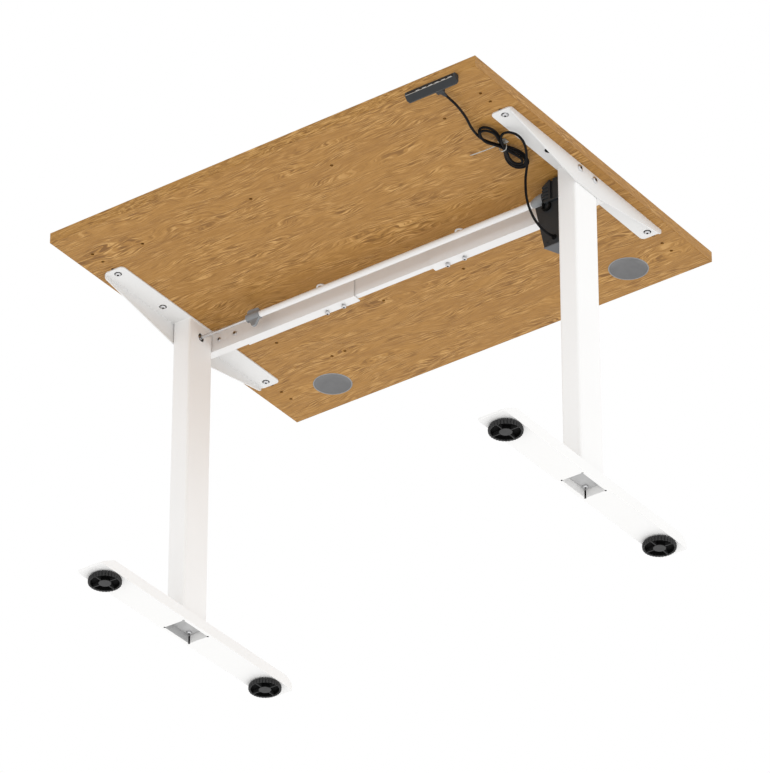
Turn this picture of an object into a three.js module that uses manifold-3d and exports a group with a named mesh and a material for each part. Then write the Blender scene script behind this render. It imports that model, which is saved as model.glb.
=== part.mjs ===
// Height adjustable standing desk, lowest position.
// Millimetres, +Z up, +X to the right of somebody sitting at it, +Y away from them.
// The origin is on the floor, midway between the two columns.
import * as THREE from 'three';
import { mergeVertices } from 'three/addons/utils/BufferGeometryUtils.js';
import { ConvexGeometry } from 'three/addons/geometries/ConvexGeometry.js';
import Module from 'manifold-3d';

const wasm = await Module();
wasm.setup();

// ---------------------------------------------------------------- driving dimensions

const TOP = { width: 1000, depth: 800, thickness: 23, band: 1.5, centreY: 3 };
const UNDERSIDE = 705;                       // height of the desktop's underside, lowest position
const GAP = 0.3;                             // clearance kept between touching sheet parts
const SHEET = 2;                             // beam sheet thickness

const COLUMN = { x: 456.5, width: 42, depth: 73, radius: 5, wall: 1.8, bottom: 41 };
const INNER = { width: 34.8, depth: 65.8, radius: 3, wall: 1.8, top: 634 };
const BRACKET = {
  sheet: 2.5, centreY: 1.5, halfLength: 256, inner: 434, outer: 480.5, endDepth: 10, depth: 47.5,
};
const BEAM = {
  front: 34.6, rear: 56, innerRear: 51, joint: 358, innerEnd: 90, innerReach: 230, height: 48.7,
};
const DRIVE = { drop: 32, rod: 6.4, tube: 13, hole: 18 };
const FOOT = { front: -297, rear: 302, width: 59, bottom: 12.5, top: 36.5, padY: 250, padRadius: 32.7 };
const GROMMET = { x: 355.5, y: 328, radius: 39.5, sides: 40 };
const HANDSET = { x: 401, length: 113, front: -401.8, rear: -390, depth: 21, band: 8, corner: 9 };
const UNIT = {
  left: 368, right: 432.5, front: -12, rear: 30, top: 52, bottom: 148.5, lean: 19, narrowing: 17,
};
const CORD = { radius: 2.5, sides: 10 };

const AXIS_Z = UNDERSIDE - DRIVE.drop;       // height of the drive shaft's axis
const SIDES = { left: -1, right: 1 };

// ---------------------------------------------------------------- materials

const finish = (color, roughness, metalness) => (
  new THREE.MeshStandardMaterial({ color, roughness, metalness })
);
const OAK = finish(0xb0844e, 0.55, 0);
const WHITE_PAINT = finish(0xeeecea, 0.42, 0.1);
const BLACK_PLASTIC = finish(0x343638, 0.5, 0);
const GREY_PLASTIC = finish(0x87898c, 0.45, 0);
const ZINC = finish(0x9a9c9e, 0.4, 0.8);
const STEEL = finish(0xb9bbbd, 0.3, 0.9);
const BRASS = finish(0xb49a58, 0.35, 0.9);
const TIE_NYLON = finish(0xd9dcd6, 0.35, 0);
const CORD_BLACK = finish(0x1d1e1f, 0.6, 0);
const BUTTON_GREY = finish(0xc9cbcc, 0.45, 0);

// ---------------------------------------------------------------- solids

// A closed mesh as a manifold-3d solid.
function solid(geometry) {
  const bare = geometry.clone();
  bare.deleteAttribute('normal');
  bare.deleteAttribute('uv');
  const merged = mergeVertices(bare, 1e-4);
  return new wasm.Manifold(new wasm.Mesh({
    numProp: 3,
    vertProperties: new Float32Array(merged.attributes.position.array),
    triVerts: new Uint32Array(merged.index.array),
  }));
}

// A manifold-3d solid as a three.js geometry.
function shapeOf(manifold) {
  const mesh = manifold.getMesh();
  const geometry = new THREE.BufferGeometry();
  geometry.setAttribute('position', new THREE.BufferAttribute(mesh.vertProperties, 3));
  geometry.setIndex(new THREE.BufferAttribute(mesh.triVerts, 1));
  geometry.computeVertexNormals();
  return geometry;
}

function cut(base, ...tools) {
  return shapeOf(tools.reduce((body, tool) => body.subtract(solid(tool)), solid(base)));
}

function join(base, ...others) {
  return shapeOf(others.reduce((body, other) => body.add(solid(other)), solid(base)));
}

const common = (a, b) => shapeOf(solid(a).intersect(solid(b)));

function box(x, y, z) {
  const geometry = new THREE.BoxGeometry(x[1] - x[0], y[1] - y[0], z[1] - z[0]);
  return geometry.translate((x[0] + x[1]) / 2, (y[0] + y[1]) / 2, (z[0] + z[1]) / 2);
}

// Round bar along X, Y or Z; at holds the two other coordinates in X, Y, Z order.
function bar(axis, radius, from, to, at, sides = 16) {
  const geometry = new THREE.CylinderGeometry(radius, radius, to - from, sides);
  const middle = (from + to) / 2;
  if (axis === 'x') return geometry.rotateZ(Math.PI / 2).translate(middle, at[0], at[1]);
  if (axis === 'y') return geometry.translate(at[0], middle, at[1]);
  return geometry.rotateX(Math.PI / 2).translate(at[0], at[1], middle);
}

// A lathe profile of [radius, height] pairs turned about a vertical axis.
function turned(profile, at, sides = 20) {
  const points = profile.map(([radius, height]) => new THREE.Vector2(radius, height));
  return new THREE.LatheGeometry(points, sides).rotateX(Math.PI / 2).translate(at[0], at[1], 0);
}

// The same profile turned about the drive shaft's axis; heights run along +X.
function turnedOnShaft(profile, sides = 16) {
  const points = profile.map(([radius, along]) => new THREE.Vector2(radius, along));
  return new THREE.LatheGeometry(points, sides).rotateZ(-Math.PI / 2).translate(0, 0, AXIS_Z);
}

function outline(points) {
  return new THREE.Shape(points.map(([a, b]) => new THREE.Vector2(a, b)));
}

function roundedRectangle(width, depth, radius, Type = THREE.Shape) {
  const [w, d] = [width / 2, depth / 2];
  const shape = new Type();
  shape.absarc(w - radius, d - radius, radius, 0, Math.PI / 2);
  shape.absarc(radius - w, d - radius, radius, Math.PI / 2, Math.PI);
  shape.absarc(radius - w, radius - d, radius, Math.PI, Math.PI * 1.5);
  shape.absarc(w - radius, radius - d, radius, Math.PI * 1.5, Math.PI * 2);
  shape.closePath();
  return shape;
}

// Extrusion of an X-Y outline from one height to another.
function upright(shape, from, to, curveSegments = 3) {
  const geometry = new THREE.ExtrudeGeometry(shape, { depth: to - from, bevelEnabled: false, curveSegments });
  return geometry.translate(0, 0, from);
}

// Extrusion of a Y-Z outline along X.
function alongX(shape, from, to, curveSegments = 3) {
  const geometry = new THREE.ExtrudeGeometry(shape, { depth: to - from, bevelEnabled: false, curveSegments });
  return geometry.rotateZ(Math.PI / 2).rotateY(Math.PI / 2).translate(from, 0, 0);
}

// Extrusion of an X-Z outline along Y.
function alongY(shape, from, to, curveSegments = 3) {
  const geometry = new THREE.ExtrudeGeometry(shape, { depth: to - from, bevelEnabled: false, curveSegments });
  return geometry.rotateX(Math.PI / 2).translate(0, to, 0);
}

// Rectangular tube standing upright at x, with its wall inside the outline.
function tube(x, { width, depth, radius, wall }, from, to) {
  const shape = roundedRectangle(width, depth, radius);
  shape.holes.push(roundedRectangle(width - 2 * wall, depth - 2 * wall, radius - wall, THREE.Path));
  return upright(shape, from, to).translate(x, 0, 0);
}

// ---------------------------------------------------------------- assembly

const desk = new THREE.Group();

function add(name, geometry, material) {
  const mesh = new THREE.Mesh(geometry, material);
  mesh.name = name;
  desk.add(mesh);
}

const mirroredRange = (side, a, b) => (side > 0 ? [a, b] : [-b, -a]);

// ---------------------------------------------------------------- desktop

const BRACKET_SCREWS = { front: -238.5, middle: -96, rear: 240.5 };
const SCREW_X = 457;

// Pre-drilled holes of the underside, measured from the top's own middle.
function drilledHoles() {
  const holes = [[-296, 241.3], [-264.5, 241.3]];
  for (const x of [-356.5, -95.5, 95.5, 356.5]) holes.push([x, -294], [x, 138.3]);
  for (const x of [-457, 457]) {
    for (const y of [257.5, 289.5, 321.5]) holes.push([x, -y], [x, y]);
  }
  return holes.map(([x, y]) => [x, y + TOP.centreY]);
}

function desktopBoard() {
  const w = TOP.width / 2 - TOP.band;
  const d = TOP.depth / 2 - TOP.band;
  const board = box([-w, w], [TOP.centreY - d, TOP.centreY + d], [UNDERSIDE, UNDERSIDE + TOP.thickness]);
  const tools = drilledHoles().map((at) => bar('z', 3.6, UNDERSIDE - 1, UNDERSIDE + 12, at, 10));
  for (const side of [-1, 1]) {
    const grommetAt = [side * GROMMET.x, GROMMET.y];
    const through = [UNDERSIDE - 1, UNDERSIDE + TOP.thickness + 1];
    tools.push(bar('z', GROMMET.radius + GAP, ...through, grommetAt, GROMMET.sides));
    for (const y of Object.values(BRACKET_SCREWS)) {
      tools.push(bar('z', 2.6, UNDERSIDE - 1, UNDERSIDE + 16, [side * SCREW_X, y], 8));
    }
  }
  return cut(board, ...tools);
}

function edgeBand() {
  const [w, d] = [TOP.width, TOP.depth];
  const shape = outline([[-w / 2, -d / 2], [w / 2, -d / 2], [w / 2, d / 2], [-w / 2, d / 2]]);
  const [iw, id] = [w / 2 - TOP.band, d / 2 - TOP.band];
  shape.holes.push(outline([[-iw, -id], [-iw, id], [iw, id], [iw, -id]]));
  return upright(shape, UNDERSIDE, UNDERSIDE + TOP.thickness).translate(0, TOP.centreY, 0);
}

add('desktop_board', desktopBoard(), OAK);
add('edge_band', edgeBand(), OAK);

// Cable grommets: a liner pressed flush into the board and a dished cap that lifts out of it.
const LINER_WALL = 2.4;
const CAP = { clearance: 0.4, rise: 1, dish: 9, rim: 1.2 };

function grommetLiner(side) {
  const r = GROMMET.radius;
  const [low, high] = [UNDERSIDE - 0.6, UNDERSIDE + TOP.thickness];
  const profile = [[r - LINER_WALL, low], [r, low], [r, high], [r - LINER_WALL, high], [r - LINER_WALL, low]];
  return turned(profile, [side * GROMMET.x, GROMMET.y], GROMMET.sides);
}

function grommetCap(side) {
  const r = GROMMET.radius - LINER_WALL - CAP.clearance;
  const low = UNDERSIDE + CAP.rise;
  const high = UNDERSIDE + TOP.thickness;
  const profile = [[0, high], [0, low + CAP.dish]];
  const steps = 4;
  for (let i = 1; i <= steps; i += 1) {
    const t = i / steps;
    profile.push([(r - CAP.rim) * t, low + CAP.dish * Math.cos((t * Math.PI) / 2)]);
  }
  profile.push([r, low], [r, high]);
  profile.push([0, high]);
  return turned(profile, [side * GROMMET.x, GROMMET.y], GROMMET.sides);
}

for (const [label, side] of Object.entries(SIDES)) {
  add(`grommet_liner_${label}`, grommetLiner(side), GREY_PLASTIC);
  add(`grommet_cap_${label}`, grommetCap(side), GREY_PLASTIC);
}

// ---------------------------------------------------------------- side brackets

function sideBracket(side) {
  const { sheet, centreY, halfLength, inner, outer, endDepth, depth } = BRACKET;
  const width = outer - inner;
  const flange = upright(roundedRectangle(width, 2 * halfLength, 9), UNDERSIDE - sheet, UNDERSIDE, 4)
    .translate((side * (inner + outer)) / 2, centreY, 0);
  const half = COLUMN.depth / 2;
  const round = 5;
  const webShape = new THREE.Shape();
  const [front, rear] = [centreY - halfLength + 4, centreY + halfLength - 4];
  webShape.moveTo(front, UNDERSIDE);
  webShape.lineTo(front, UNDERSIDE - endDepth + round);
  webShape.quadraticCurveTo(front, UNDERSIDE - endDepth, front + round, UNDERSIDE - endDepth - 1);
  webShape.lineTo(-half, UNDERSIDE - depth);
  webShape.lineTo(half, UNDERSIDE - depth);
  webShape.lineTo(rear - round, UNDERSIDE - endDepth - 1);
  webShape.quadraticCurveTo(rear, UNDERSIDE - endDepth, rear, UNDERSIDE - endDepth + round);
  webShape.lineTo(rear, UNDERSIDE);
  webShape.closePath();
  const web = alongX(webShape, ...mirroredRange(side, outer - sheet, outer), 4);
  const tools = [];
  for (const y of Object.values(BRACKET_SCREWS)) {
    tools.push(bar('z', 2.8, UNDERSIDE - sheet - 1, UNDERSIDE + 1, [side * SCREW_X, y], 10));
  }
  for (const y of [-1, 1]) {
    const across = mirroredRange(side, outer - sheet - 1, outer + 1);
    tools.push(bar('x', 5, ...across, [y * 25, UNDERSIDE - 12], 16));
    tools.push(bar('x', 1.6, ...across, [y * 16, UNDERSIDE - 14], 8));
  }
  return cut(join(flange, web), ...tools);
}

// Round-head screw with a hexagon socket, head down.
function headDownScrew(at, headTop, headRadius, headHeight, shankRadius, shankLength) {
  const profile = [
    [0, headTop + shankLength], [shankRadius, headTop + shankLength], [shankRadius, headTop],
    [headRadius, headTop], [headRadius, headTop - headHeight * 0.4],
    [headRadius * 0.72, headTop - headHeight], [0, headTop - headHeight],
  ];
  const socket = new THREE.CylinderGeometry(headRadius * 0.4, headRadius * 0.4, headHeight * 1.2, 6)
    .rotateX(Math.PI / 2)
    .translate(at[0], at[1], headTop - headHeight);
  return cut(turned(profile.reverse(), at, 12), socket);
}

for (const [label, side] of Object.entries(SIDES)) {
  add(`side_bracket_${label}`, sideBracket(side), WHITE_PAINT);
  for (const [place, y] of Object.entries(BRACKET_SCREWS)) {
    const screw = headDownScrew([side * SCREW_X, y], UNDERSIDE - BRACKET.sheet, 5.6, 3, 2.4, 16);
    add(`bracket_screw_${label}_${place}`, screw, STEEL);
  }
}

// ---------------------------------------------------------------- telescopic beam

// Channel open to the rear: web in front, flanges along the top and the bottom.
function channel(from, to, inset, rear) {
  const front = BEAM.front + inset;
  const top = UNDERSIDE - GAP - inset;
  const bottom = UNDERSIDE - GAP - BEAM.height + inset;
  const web = box([from, to], [front, front + SHEET], [bottom, top]);
  const upper = box([from, to], [front, rear], [top - SHEET, top]);
  const lower = box([from, to], [front, rear], [bottom, bottom + SHEET]);
  return join(web, upper, lower);
}

const END_NEST = SHEET + 0.6;                // how far each nested section lies inside the outer channels
const INNER_NEST = 3.6;
const BEAM_SCREWS = { x: [123.5, 163], y: 47.6 };
const LUG = { x: 165, y: 29.5, radius: 9.5, hole: 6.2 };
const END_BRACKET = { length: 98, screws: [381, 420], hole: 4.8, drop: 23 };

// Lug that carries a fixing screw for the desktop, in front of the beam's top flange.
function fixingLug(x) {
  const shape = new THREE.Shape();
  shape.moveTo(x - LUG.radius, BEAM.front + 1);
  shape.lineTo(x - LUG.radius, LUG.y);
  shape.absarc(x, LUG.y, LUG.radius, Math.PI, Math.PI * 2);
  shape.lineTo(x + LUG.radius, BEAM.front + 1);
  shape.closePath();
  const hole = new THREE.Path();
  hole.absarc(x, LUG.y, LUG.hole, 0, Math.PI * 2);
  shape.holes.push(hole);
  return upright(shape, UNDERSIDE - GAP - SHEET, UNDERSIDE - GAP, 7);
}

function screwHoles(side, radius) {
  const { x: places, y } = BEAM_SCREWS;
  return places.map((x) => bar('z', radius, UNDERSIDE - 60, UNDERSIDE - 40, [side * x, y], 10));
}

function outerChannel(side) {
  const body = channel(...mirroredRange(side, BEAM.innerEnd, BEAM.joint), 0, BEAM.rear);
  return cut(join(body, fixingLug(side * LUG.x)), ...screwHoles(side, 3.2));
}

function innerChannel() {
  const body = channel(-BEAM.innerReach, BEAM.innerReach, INNER_NEST, BEAM.innerRear);
  return cut(body, ...screwHoles(-1, 2.8), ...screwHoles(1, 2.8));
}

// End bracket: the same section as the inner channel, fastened to the column's back.
function endBracket(side) {
  const { length, screws, hole, drop } = END_BRACKET;
  const span = mirroredRange(side, BEAM.joint - length, COLUMN.x + COLUMN.width / 2);
  const body = channel(...span, END_NEST, BEAM.rear);
  const holes = screws.map((x) => bar('y', hole, BEAM.front, BEAM.front + 8, [side * x, UNDERSIDE - drop]));
  return cut(body, ...holes);
}

add('beam_channel_left', outerChannel(-1), WHITE_PAINT);
add('beam_channel_right', outerChannel(1), WHITE_PAINT);
add('beam_channel_inner', innerChannel(), WHITE_PAINT);
add('end_bracket_left', endBracket(-1), WHITE_PAINT);
add('end_bracket_right', endBracket(1), WHITE_PAINT);

// ---------------------------------------------------------------- columns

function outerTube(side) {
  const top = UNDERSIDE - BRACKET.sheet;
  const body = tube(side * COLUMN.x, COLUMN, COLUMN.bottom, top);
  const inside = mirroredRange(side, COLUMN.x - COLUMN.width / 2 - 1, COLUMN.x - 10);
  const outside = mirroredRange(side, COLUMN.x + 10, COLUMN.x + COLUMN.width / 2 + 1);
  const tools = [bar('x', DRIVE.hole / 2, ...inside, [0, AXIS_Z], 20)];
  for (const y of [-25, 25]) tools.push(bar('x', 5, ...outside, [y, UNDERSIDE - 12]));
  return cut(body, ...tools);
}

// Plastic sleeve in the outer tube's mouth, which the inner tube slides through.
function guideSleeve(side) {
  const bore = () => roundedRectangle(INNER.width + 0.6, INNER.depth + 0.6, INNER.radius, THREE.Path);
  const ring = (width, depth, radius, from, to) => {
    const shape = roundedRectangle(width, depth, radius);
    shape.holes.push(bore());
    return upright(shape, from, to);
  };
  const inset = 2 * COLUMN.wall + 0.4;
  const sleeve = ring(COLUMN.width - inset, COLUMN.depth - inset, 3, COLUMN.bottom - 1, COLUMN.bottom + 60);
  const lip = ring(COLUMN.width, COLUMN.depth, COLUMN.radius, COLUMN.bottom - 2.4, COLUMN.bottom - GAP);
  return join(sleeve, lip).translate(side * COLUMN.x, 0, 0);
}

const PLATE = { bottom: FOOT.bottom + 17, thickness: 4.8, width: 44.2, depth: 75.2 };
const PLATE_BOLTS = [[-13.5, -26], [-13.5, 26], [13.5, -26], [13.5, 26]];

// Inner tube, welded to the plate that the foot is bolted to.
function innerTube(side) {
  const plateTop = PLATE.bottom + PLATE.thickness;
  const plate = upright(roundedRectangle(PLATE.width, PLATE.depth, 2), PLATE.bottom, plateTop)
    .translate(side * COLUMN.x, 0, 0);
  const holes = PLATE_BOLTS.map(([x, y]) => (
    bar('z', 3.2, PLATE.bottom - 1, plateTop + 1, [side * COLUMN.x + x, y], 10)
  ));
  const body = tube(side * COLUMN.x, INNER, plateTop - 1, INNER.top);
  return cut(join(plate, body), ...holes);
}

const SPINDLE = { radius: 6, length: 512 };
const BEVEL_BACK = 14;                       // distance from the shafts' crossing to a bevel's large end

// Straight bevel gear whose teeth point at the origin along -Z; large end at -back.
function bevelGear(back, face, teeth, turn) {
  const ring = (distance) => {
    const points = [];
    for (let i = 0; i < teeth; i += 1) {
      for (const [share, scale] of [[-0.3, 0.86], [-0.13, 1.07], [0.13, 1.07], [0.3, 0.86]]) {
        const angle = turn + ((i + share) / teeth) * Math.PI * 2;
        points.push([Math.cos(angle) * distance * scale, Math.sin(angle) * distance * scale, -distance]);
      }
    }
    return points;
  };
  const rings = [ring(back), ring(back - face)];
  const count = rings[0].length;
  const positions = [...rings[0], ...rings[1], [0, 0, -back], [0, 0, face - back]].flat();
  const index = [];
  for (let i = 0; i < count; i += 1) {
    const next = (i + 1) % count;
    index.push(i, next, count + next, i, count + next, count + i);
    index.push(2 * count, next, i, 2 * count + 1, count + i, count + next);
  }
  const geometry = new THREE.BufferGeometry();
  geometry.setAttribute('position', new THREE.BufferAttribute(new Float32Array(positions), 3));
  geometry.setIndex(index);
  return geometry;
}

const BEVEL_TEETH = 14;
const HALF_TOOTH = Math.PI / BEVEL_TEETH;

// Lead screw with its bevel gear on top.
function spindle(side) {
  const gear = bevelGear(BEVEL_BACK, 6, BEVEL_TEETH, 0).translate(side * COLUMN.x, 0, AXIS_Z);
  const top = AXIS_Z - BEVEL_BACK + 2;
  return join(bar('z', SPINDLE.radius, top - SPINDLE.length, top, [side * COLUMN.x, 0]), gear);
}

// Nut block fixed in the inner tube's top.
function spindleNut(side) {
  const width = INNER.width - 2 * INNER.wall - 0.6;
  const depth = INNER.depth - 2 * INNER.wall - 0.6;
  const block = upright(roundedRectangle(width, depth, 2), INNER.top - 28, INNER.top - 0.5);
  return cut(block, bar('z', SPINDLE.radius + 0.3, INNER.top - 40, INNER.top + 10, [0, 0]))
    .translate(side * COLUMN.x, 0, 0);
}

// Bearing block in the outer tube's top, around the two bevel gears.
function gearbox(side) {
  const width = COLUMN.width - 2 * COLUMN.wall - 0.8;
  const depth = COLUMN.depth - 2 * COLUMN.wall - 6;
  const heights = [UNDERSIDE - 58, UNDERSIDE - BRACKET.sheet - 1];
  const block = box([-width / 2, width / 2], [-depth / 2, depth / 2], heights);
  const pocket = box([-16.5, 16.5], [-16.5, 16.5], [UNDERSIDE - 52, UNDERSIDE - 14]);
  const spindleBore = bar('z', SPINDLE.radius + 0.5, UNDERSIDE - 70, UNDERSIDE - 40, [0, 0]);
  const shaftBore = bar('x', 5.6, ...mirroredRange(-side, 10, 30), [0, AXIS_Z]);
  return cut(block, pocket, spindleBore, shaftBore).translate(side * COLUMN.x, 0, 0);
}

for (const [label, side] of Object.entries(SIDES)) {
  add(`outer_tube_${label}`, outerTube(side), WHITE_PAINT);
  add(`guide_sleeve_${label}`, guideSleeve(side), BLACK_PLASTIC);
  add(`inner_tube_${label}`, innerTube(side), WHITE_PAINT);
  add(`spindle_${label}`, spindle(side), STEEL);
  add(`spindle_nut_${label}`, spindleNut(side), BRASS);
  add(`gearbox_${label}`, gearbox(side), BLACK_PLASTIC);
}

// ---------------------------------------------------------------- drive shaft

const ROD_START = -COLUMN.x + BEVEL_BACK - 2;
const TUBE_RANGE = [-290.5, 354];
const CLAMP_LENGTH = 30.7;

function shaftBevel(side) {
  const gear = bevelGear(BEVEL_BACK, 6, BEVEL_TEETH, HALF_TOOTH);
  return gear.rotateY(side > 0 ? Math.PI / 2 : -Math.PI / 2).translate(side * COLUMN.x, 0, AXIS_Z);
}

function driveRod() {
  const corner = DRIVE.rod / 2 / Math.cos(Math.PI / 6);
  const bearing = bar('x', 5, ROD_START, ROD_START + 8, [0, AXIS_Z]);
  return join(bar('x', corner, ROD_START, -170, [0, AXIS_Z], 6), bearing, shaftBevel(-1));
}

function driveTube() {
  const [outer, bore] = [DRIVE.tube / 2, 4.6];
  const [from, to] = TUBE_RANGE;
  return turnedOnShaft([[bore, from], [outer, from], [outer, to], [bore, to], [bore, from]]);
}

// Winged clamp that locks the tube on the rod.
function rodClamp() {
  const to = TUBE_RANGE[0] - GAP;
  const from = to - CLAMP_LENGTH;
  const collar = bar('x', 8.5, from, to, [0, AXIS_Z]);
  const wing = new THREE.Shape();
  wing.moveTo(from, -4);
  wing.lineTo(from + 1, 13);
  wing.quadraticCurveTo(from + 2, 17, from + 6, 17);
  wing.lineTo(to - 6, 16);
  wing.quadraticCurveTo(to - 1, 15, to - 1, 10);
  wing.lineTo(to, -6);
  wing.quadraticCurveTo(to - 6, -12, to - 9, -20);
  wing.quadraticCurveTo(to - 13, -25, to - 19, -21);
  wing.quadraticCurveTo(from + 9, -12, from, -4);
  const blade = alongY(wing, -3, 3).translate(0, 0, AXIS_Z);
  return cut(join(collar, blade), bar('x', 4.3, from - 1, to + 1, [0, AXIS_Z], 12));
}

// Flared coupling between the tube and the gear motor, and the shaft through it to the right gearbox.
function outputShaft() {
  const end = COLUMN.x - BEVEL_BACK + 2;
  const start = TUBE_RANGE[1] + GAP;
  const profile = [
    [0, start], [7, start], [9, start + 5], [12.5, start + 14], [14, start + 23], [14, start + 29],
    [5, start + 29], [5, end], [0, end],
  ];
  return join(turnedOnShaft(profile), shaftBevel(1));
}

add('drive_rod', driveRod(), STEEL);
add('drive_tube', driveTube(), WHITE_PAINT);
add('rod_clamp', rodClamp(), GREY_PLASTIC);
add('output_shaft', outputShaft(), GREY_PLASTIC);

// ---------------------------------------------------------------- drive unit

const MOTOR_BOX = { left: 387, front: -17, rear: 29, top: 4, bottom: 57, panel: 412, groove: 6 };

// A tapered box: front face wider than the back, top wider than the bottom.
function taperedBox(inset, topZ, bottomZ) {
  const { left, right, front, rear, top, bottom, lean, narrowing } = UNIT;
  const slope = lean / (bottom - top);
  const points = [];
  for (const z of [topZ, bottomZ]) {
    const edge = left + slope * (UNDERSIDE - z - top) + inset;
    const plan = [
      [edge, front + inset], [edge + narrowing, rear - inset],
      [right - inset, front + inset], [right - inset, rear - inset],
    ];
    points.push(...plan.map(([x, y]) => new THREE.Vector3(x, y, z)));
  }
  return new ConvexGeometry(points);
}

const INLET = { x: 414, drop: 112, halfWidth: 11, halfHeight: 7, margin: 1, pinGap: 8 };

// Block in the inlet's place, larger all round by a margin.
function inletBlock(margin, depth) {
  const { x, drop, halfWidth, halfHeight } = INLET;
  const [w, h] = [halfWidth + margin, halfHeight + margin];
  return box([x - w, x + w], depth, [UNDERSIDE - drop - h, UNDERSIDE - drop + h]);
}

function driveCover() {
  const [top, bottom] = [UNDERSIDE - UNIT.top, UNDERSIDE - UNIT.bottom];
  const body = taperedBox(0, top, bottom);
  const cavity = taperedBox(2.4, top + 1, bottom + 2.4);
  const cordHole = bar('y', 3.4, UNIT.front - 1, UNIT.front + 4, [CORD_SOCKET.x, CORD_SOCKET.z], 16);
  const inletHole = inletBlock(INLET.margin, [UNIT.rear - 4, UNIT.rear + 1]);
  return cut(body, cavity, cordHole, inletHole);
}

// Motor casing: a flat panel on the right of its front, a deep groove beside it and short ribs on the left.
function motorHousing() {
  const { left, front, rear, top, bottom, panel, groove } = MOTOR_BOX;
  const [high, low] = [UNDERSIDE - top, UNDERSIDE - bottom + 5 + GAP];
  const right = UNIT.right;
  const face = outline([
    [left + 1, low], [right, low], [right, high], [left + 16, high], [left, high - 11],
  ]);
  const body = alongY(face, front, rear);
  const cavity = box([left + 3, right - 3], [front + 6.5, rear - 3], [low - 1, high - 14]);
  const bore = bar('x', 7, left - 2, right + 2, [0, AXIS_Z]);
  const tools = [box([panel - groove, panel], [front - 1, front + 5], [low + 4, high + 1])];
  for (let z = low + 6; z < high - 12; z += 8) {
    tools.push(box([left - 1, panel - groove - 4], [front - 1, front + 3], [z, z + 3.5]));
  }
  return cut(body, cavity, bore, ...tools);
}

// Shelf under the drive unit and the leg that fastens it to the column.
function mountingPlate() {
  const low = UNDERSIDE - UNIT.bottom - 2.4;
  const { left, right, front, rear, lean, narrowing } = UNIT;
  const edge = left + lean - 1;
  const shelfShape = outline([
    [edge, front], [right + 2.4, front], [right + 2.4, rear], [edge + narrowing, rear],
  ]);
  const shelf = upright(shelfShape, low, low + 2.1);
  const leg = box([right + GAP, right + 2.6], [front, rear], [low, UNDERSIDE - 4]);
  return cut(join(shelf, leg), bar('x', 8, right - 1, right + 5, [0, AXIS_Z]));
}

const GEAR_MOTOR = { x: 415.5, y: 4, radius: 13.5, top: 50, bottom: 140, headLeft: 393, headRight: 428 };

// Upright motor with its gear head round the drive shaft.
function gearMotor() {
  const { x, y, radius, top, bottom, headLeft, headRight } = GEAR_MOTOR;
  const can = bar('z', radius, UNDERSIDE - bottom, UNDERSIDE - top, [x, y], 20);
  const head = box([headLeft, headRight], [-10, 23], [UNDERSIDE - top - 2, UNDERSIDE - 20]);
  return cut(join(can, head), bar('x', 5.4, headLeft - 10, headRight + 10, [0, AXIS_Z]));
}

// Mains inlet in the back of the drive unit.
function powerInlet() {
  const { x, drop, pinGap } = INLET;
  const body = inletBlock(0, [UNIT.rear - 12, UNIT.rear + 0.8]);
  const mouth = inletBlock(-2.5, [UNIT.rear - 9, UNIT.rear + 2]);
  const pins = [x - pinGap / 2, x + pinGap / 2].map((pinX) => (
    bar('y', 1.2, UNIT.rear - 10, UNIT.rear - 2, [pinX, UNDERSIDE - drop], 10)
  ));
  return join(cut(body, mouth), ...pins);
}

const CORD_SOCKET = { x: 410.5, z: UNDERSIDE - 134 };

add('motor_housing', motorHousing(), BLACK_PLASTIC);
add('drive_cover', driveCover(), BLACK_PLASTIC);
add('mounting_plate', mountingPlate(), ZINC);
add('gear_motor', gearMotor(), ZINC);
add('power_inlet', powerInlet(), BLACK_PLASTIC);

// ---------------------------------------------------------------- handset and its cord

const BUTTON = { count: 6, first: 374, pitch: 14.4, width: 9, height: 2.6, drop: 6.2, proud: 1.2 };
const BUTTON_Z = UNDERSIDE - BUTTON.drop;
const buttonX = (i) => BUTTON.first + i * BUTTON.pitch;
const RELIEF = { x: 410.5, start: -376.7, drop: 11.5, boss: 8, length: 13 };

// Thin case: an upright band with the keys, and below it a face that leans back to a narrow lower edge.
function handsetCase() {
  const { x, length, front, rear, depth, band, corner } = HANDSET;
  const wedge = alongX(outline([
    [front, UNDERSIDE], [front, UNDERSIDE - band], [front + 5, UNDERSIDE - depth + 1],
    [front + 6.5, UNDERSIDE - depth], [rear - 2, UNDERSIDE - depth + 1],
    [rear, UNDERSIDE - depth + 3], [rear, UNDERSIDE],
  ]), x - length / 2, x + length / 2);
  const face = new THREE.Shape();
  face.moveTo(x - length / 2, UNDERSIDE + 1);
  face.absarc(x - length / 2 + corner, UNDERSIDE - depth + corner, corner, Math.PI, Math.PI * 1.5);
  face.absarc(x + length / 2 - corner, UNDERSIDE - depth + corner, corner, Math.PI * 1.5, Math.PI * 2);
  face.lineTo(x + length / 2, UNDERSIDE + 1);
  face.closePath();
  const rounded = common(wedge, alongY(face, front - 1, rear + 1));
  const half = RELIEF.boss;
  const bossZ = UNDERSIDE - RELIEF.drop;
  const bossDepth = [rear - 2, RELIEF.start - GAP];
  const boss = box([RELIEF.x - half, RELIEF.x + half], bossDepth, [bossZ - 4.6, UNDERSIDE - 1]);
  const wells = [];
  for (let i = 0; i < BUTTON.count; i += 1) {
    const [w, h] = [BUTTON.width / 2 + 0.3, BUTTON.height / 2 + 0.3];
    wells.push(box([buttonX(i) - w, buttonX(i) + w], [front - 1, front + 5], [BUTTON_Z - h, BUTTON_Z + h]));
  }
  return cut(join(rounded, boss), ...wells);
}

function handsetButton(i) {
  const shape = roundedRectangle(BUTTON.width, BUTTON.height, 1);
  const { front } = HANDSET;
  return alongY(shape, front - BUTTON.proud, front + 3.6).translate(buttonX(i), 0, BUTTON_Z);
}

// Tapered strain relief with grooves, between the case's boss and the cord.
const RELIEF_END = RELIEF.start + RELIEF.length;

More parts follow.
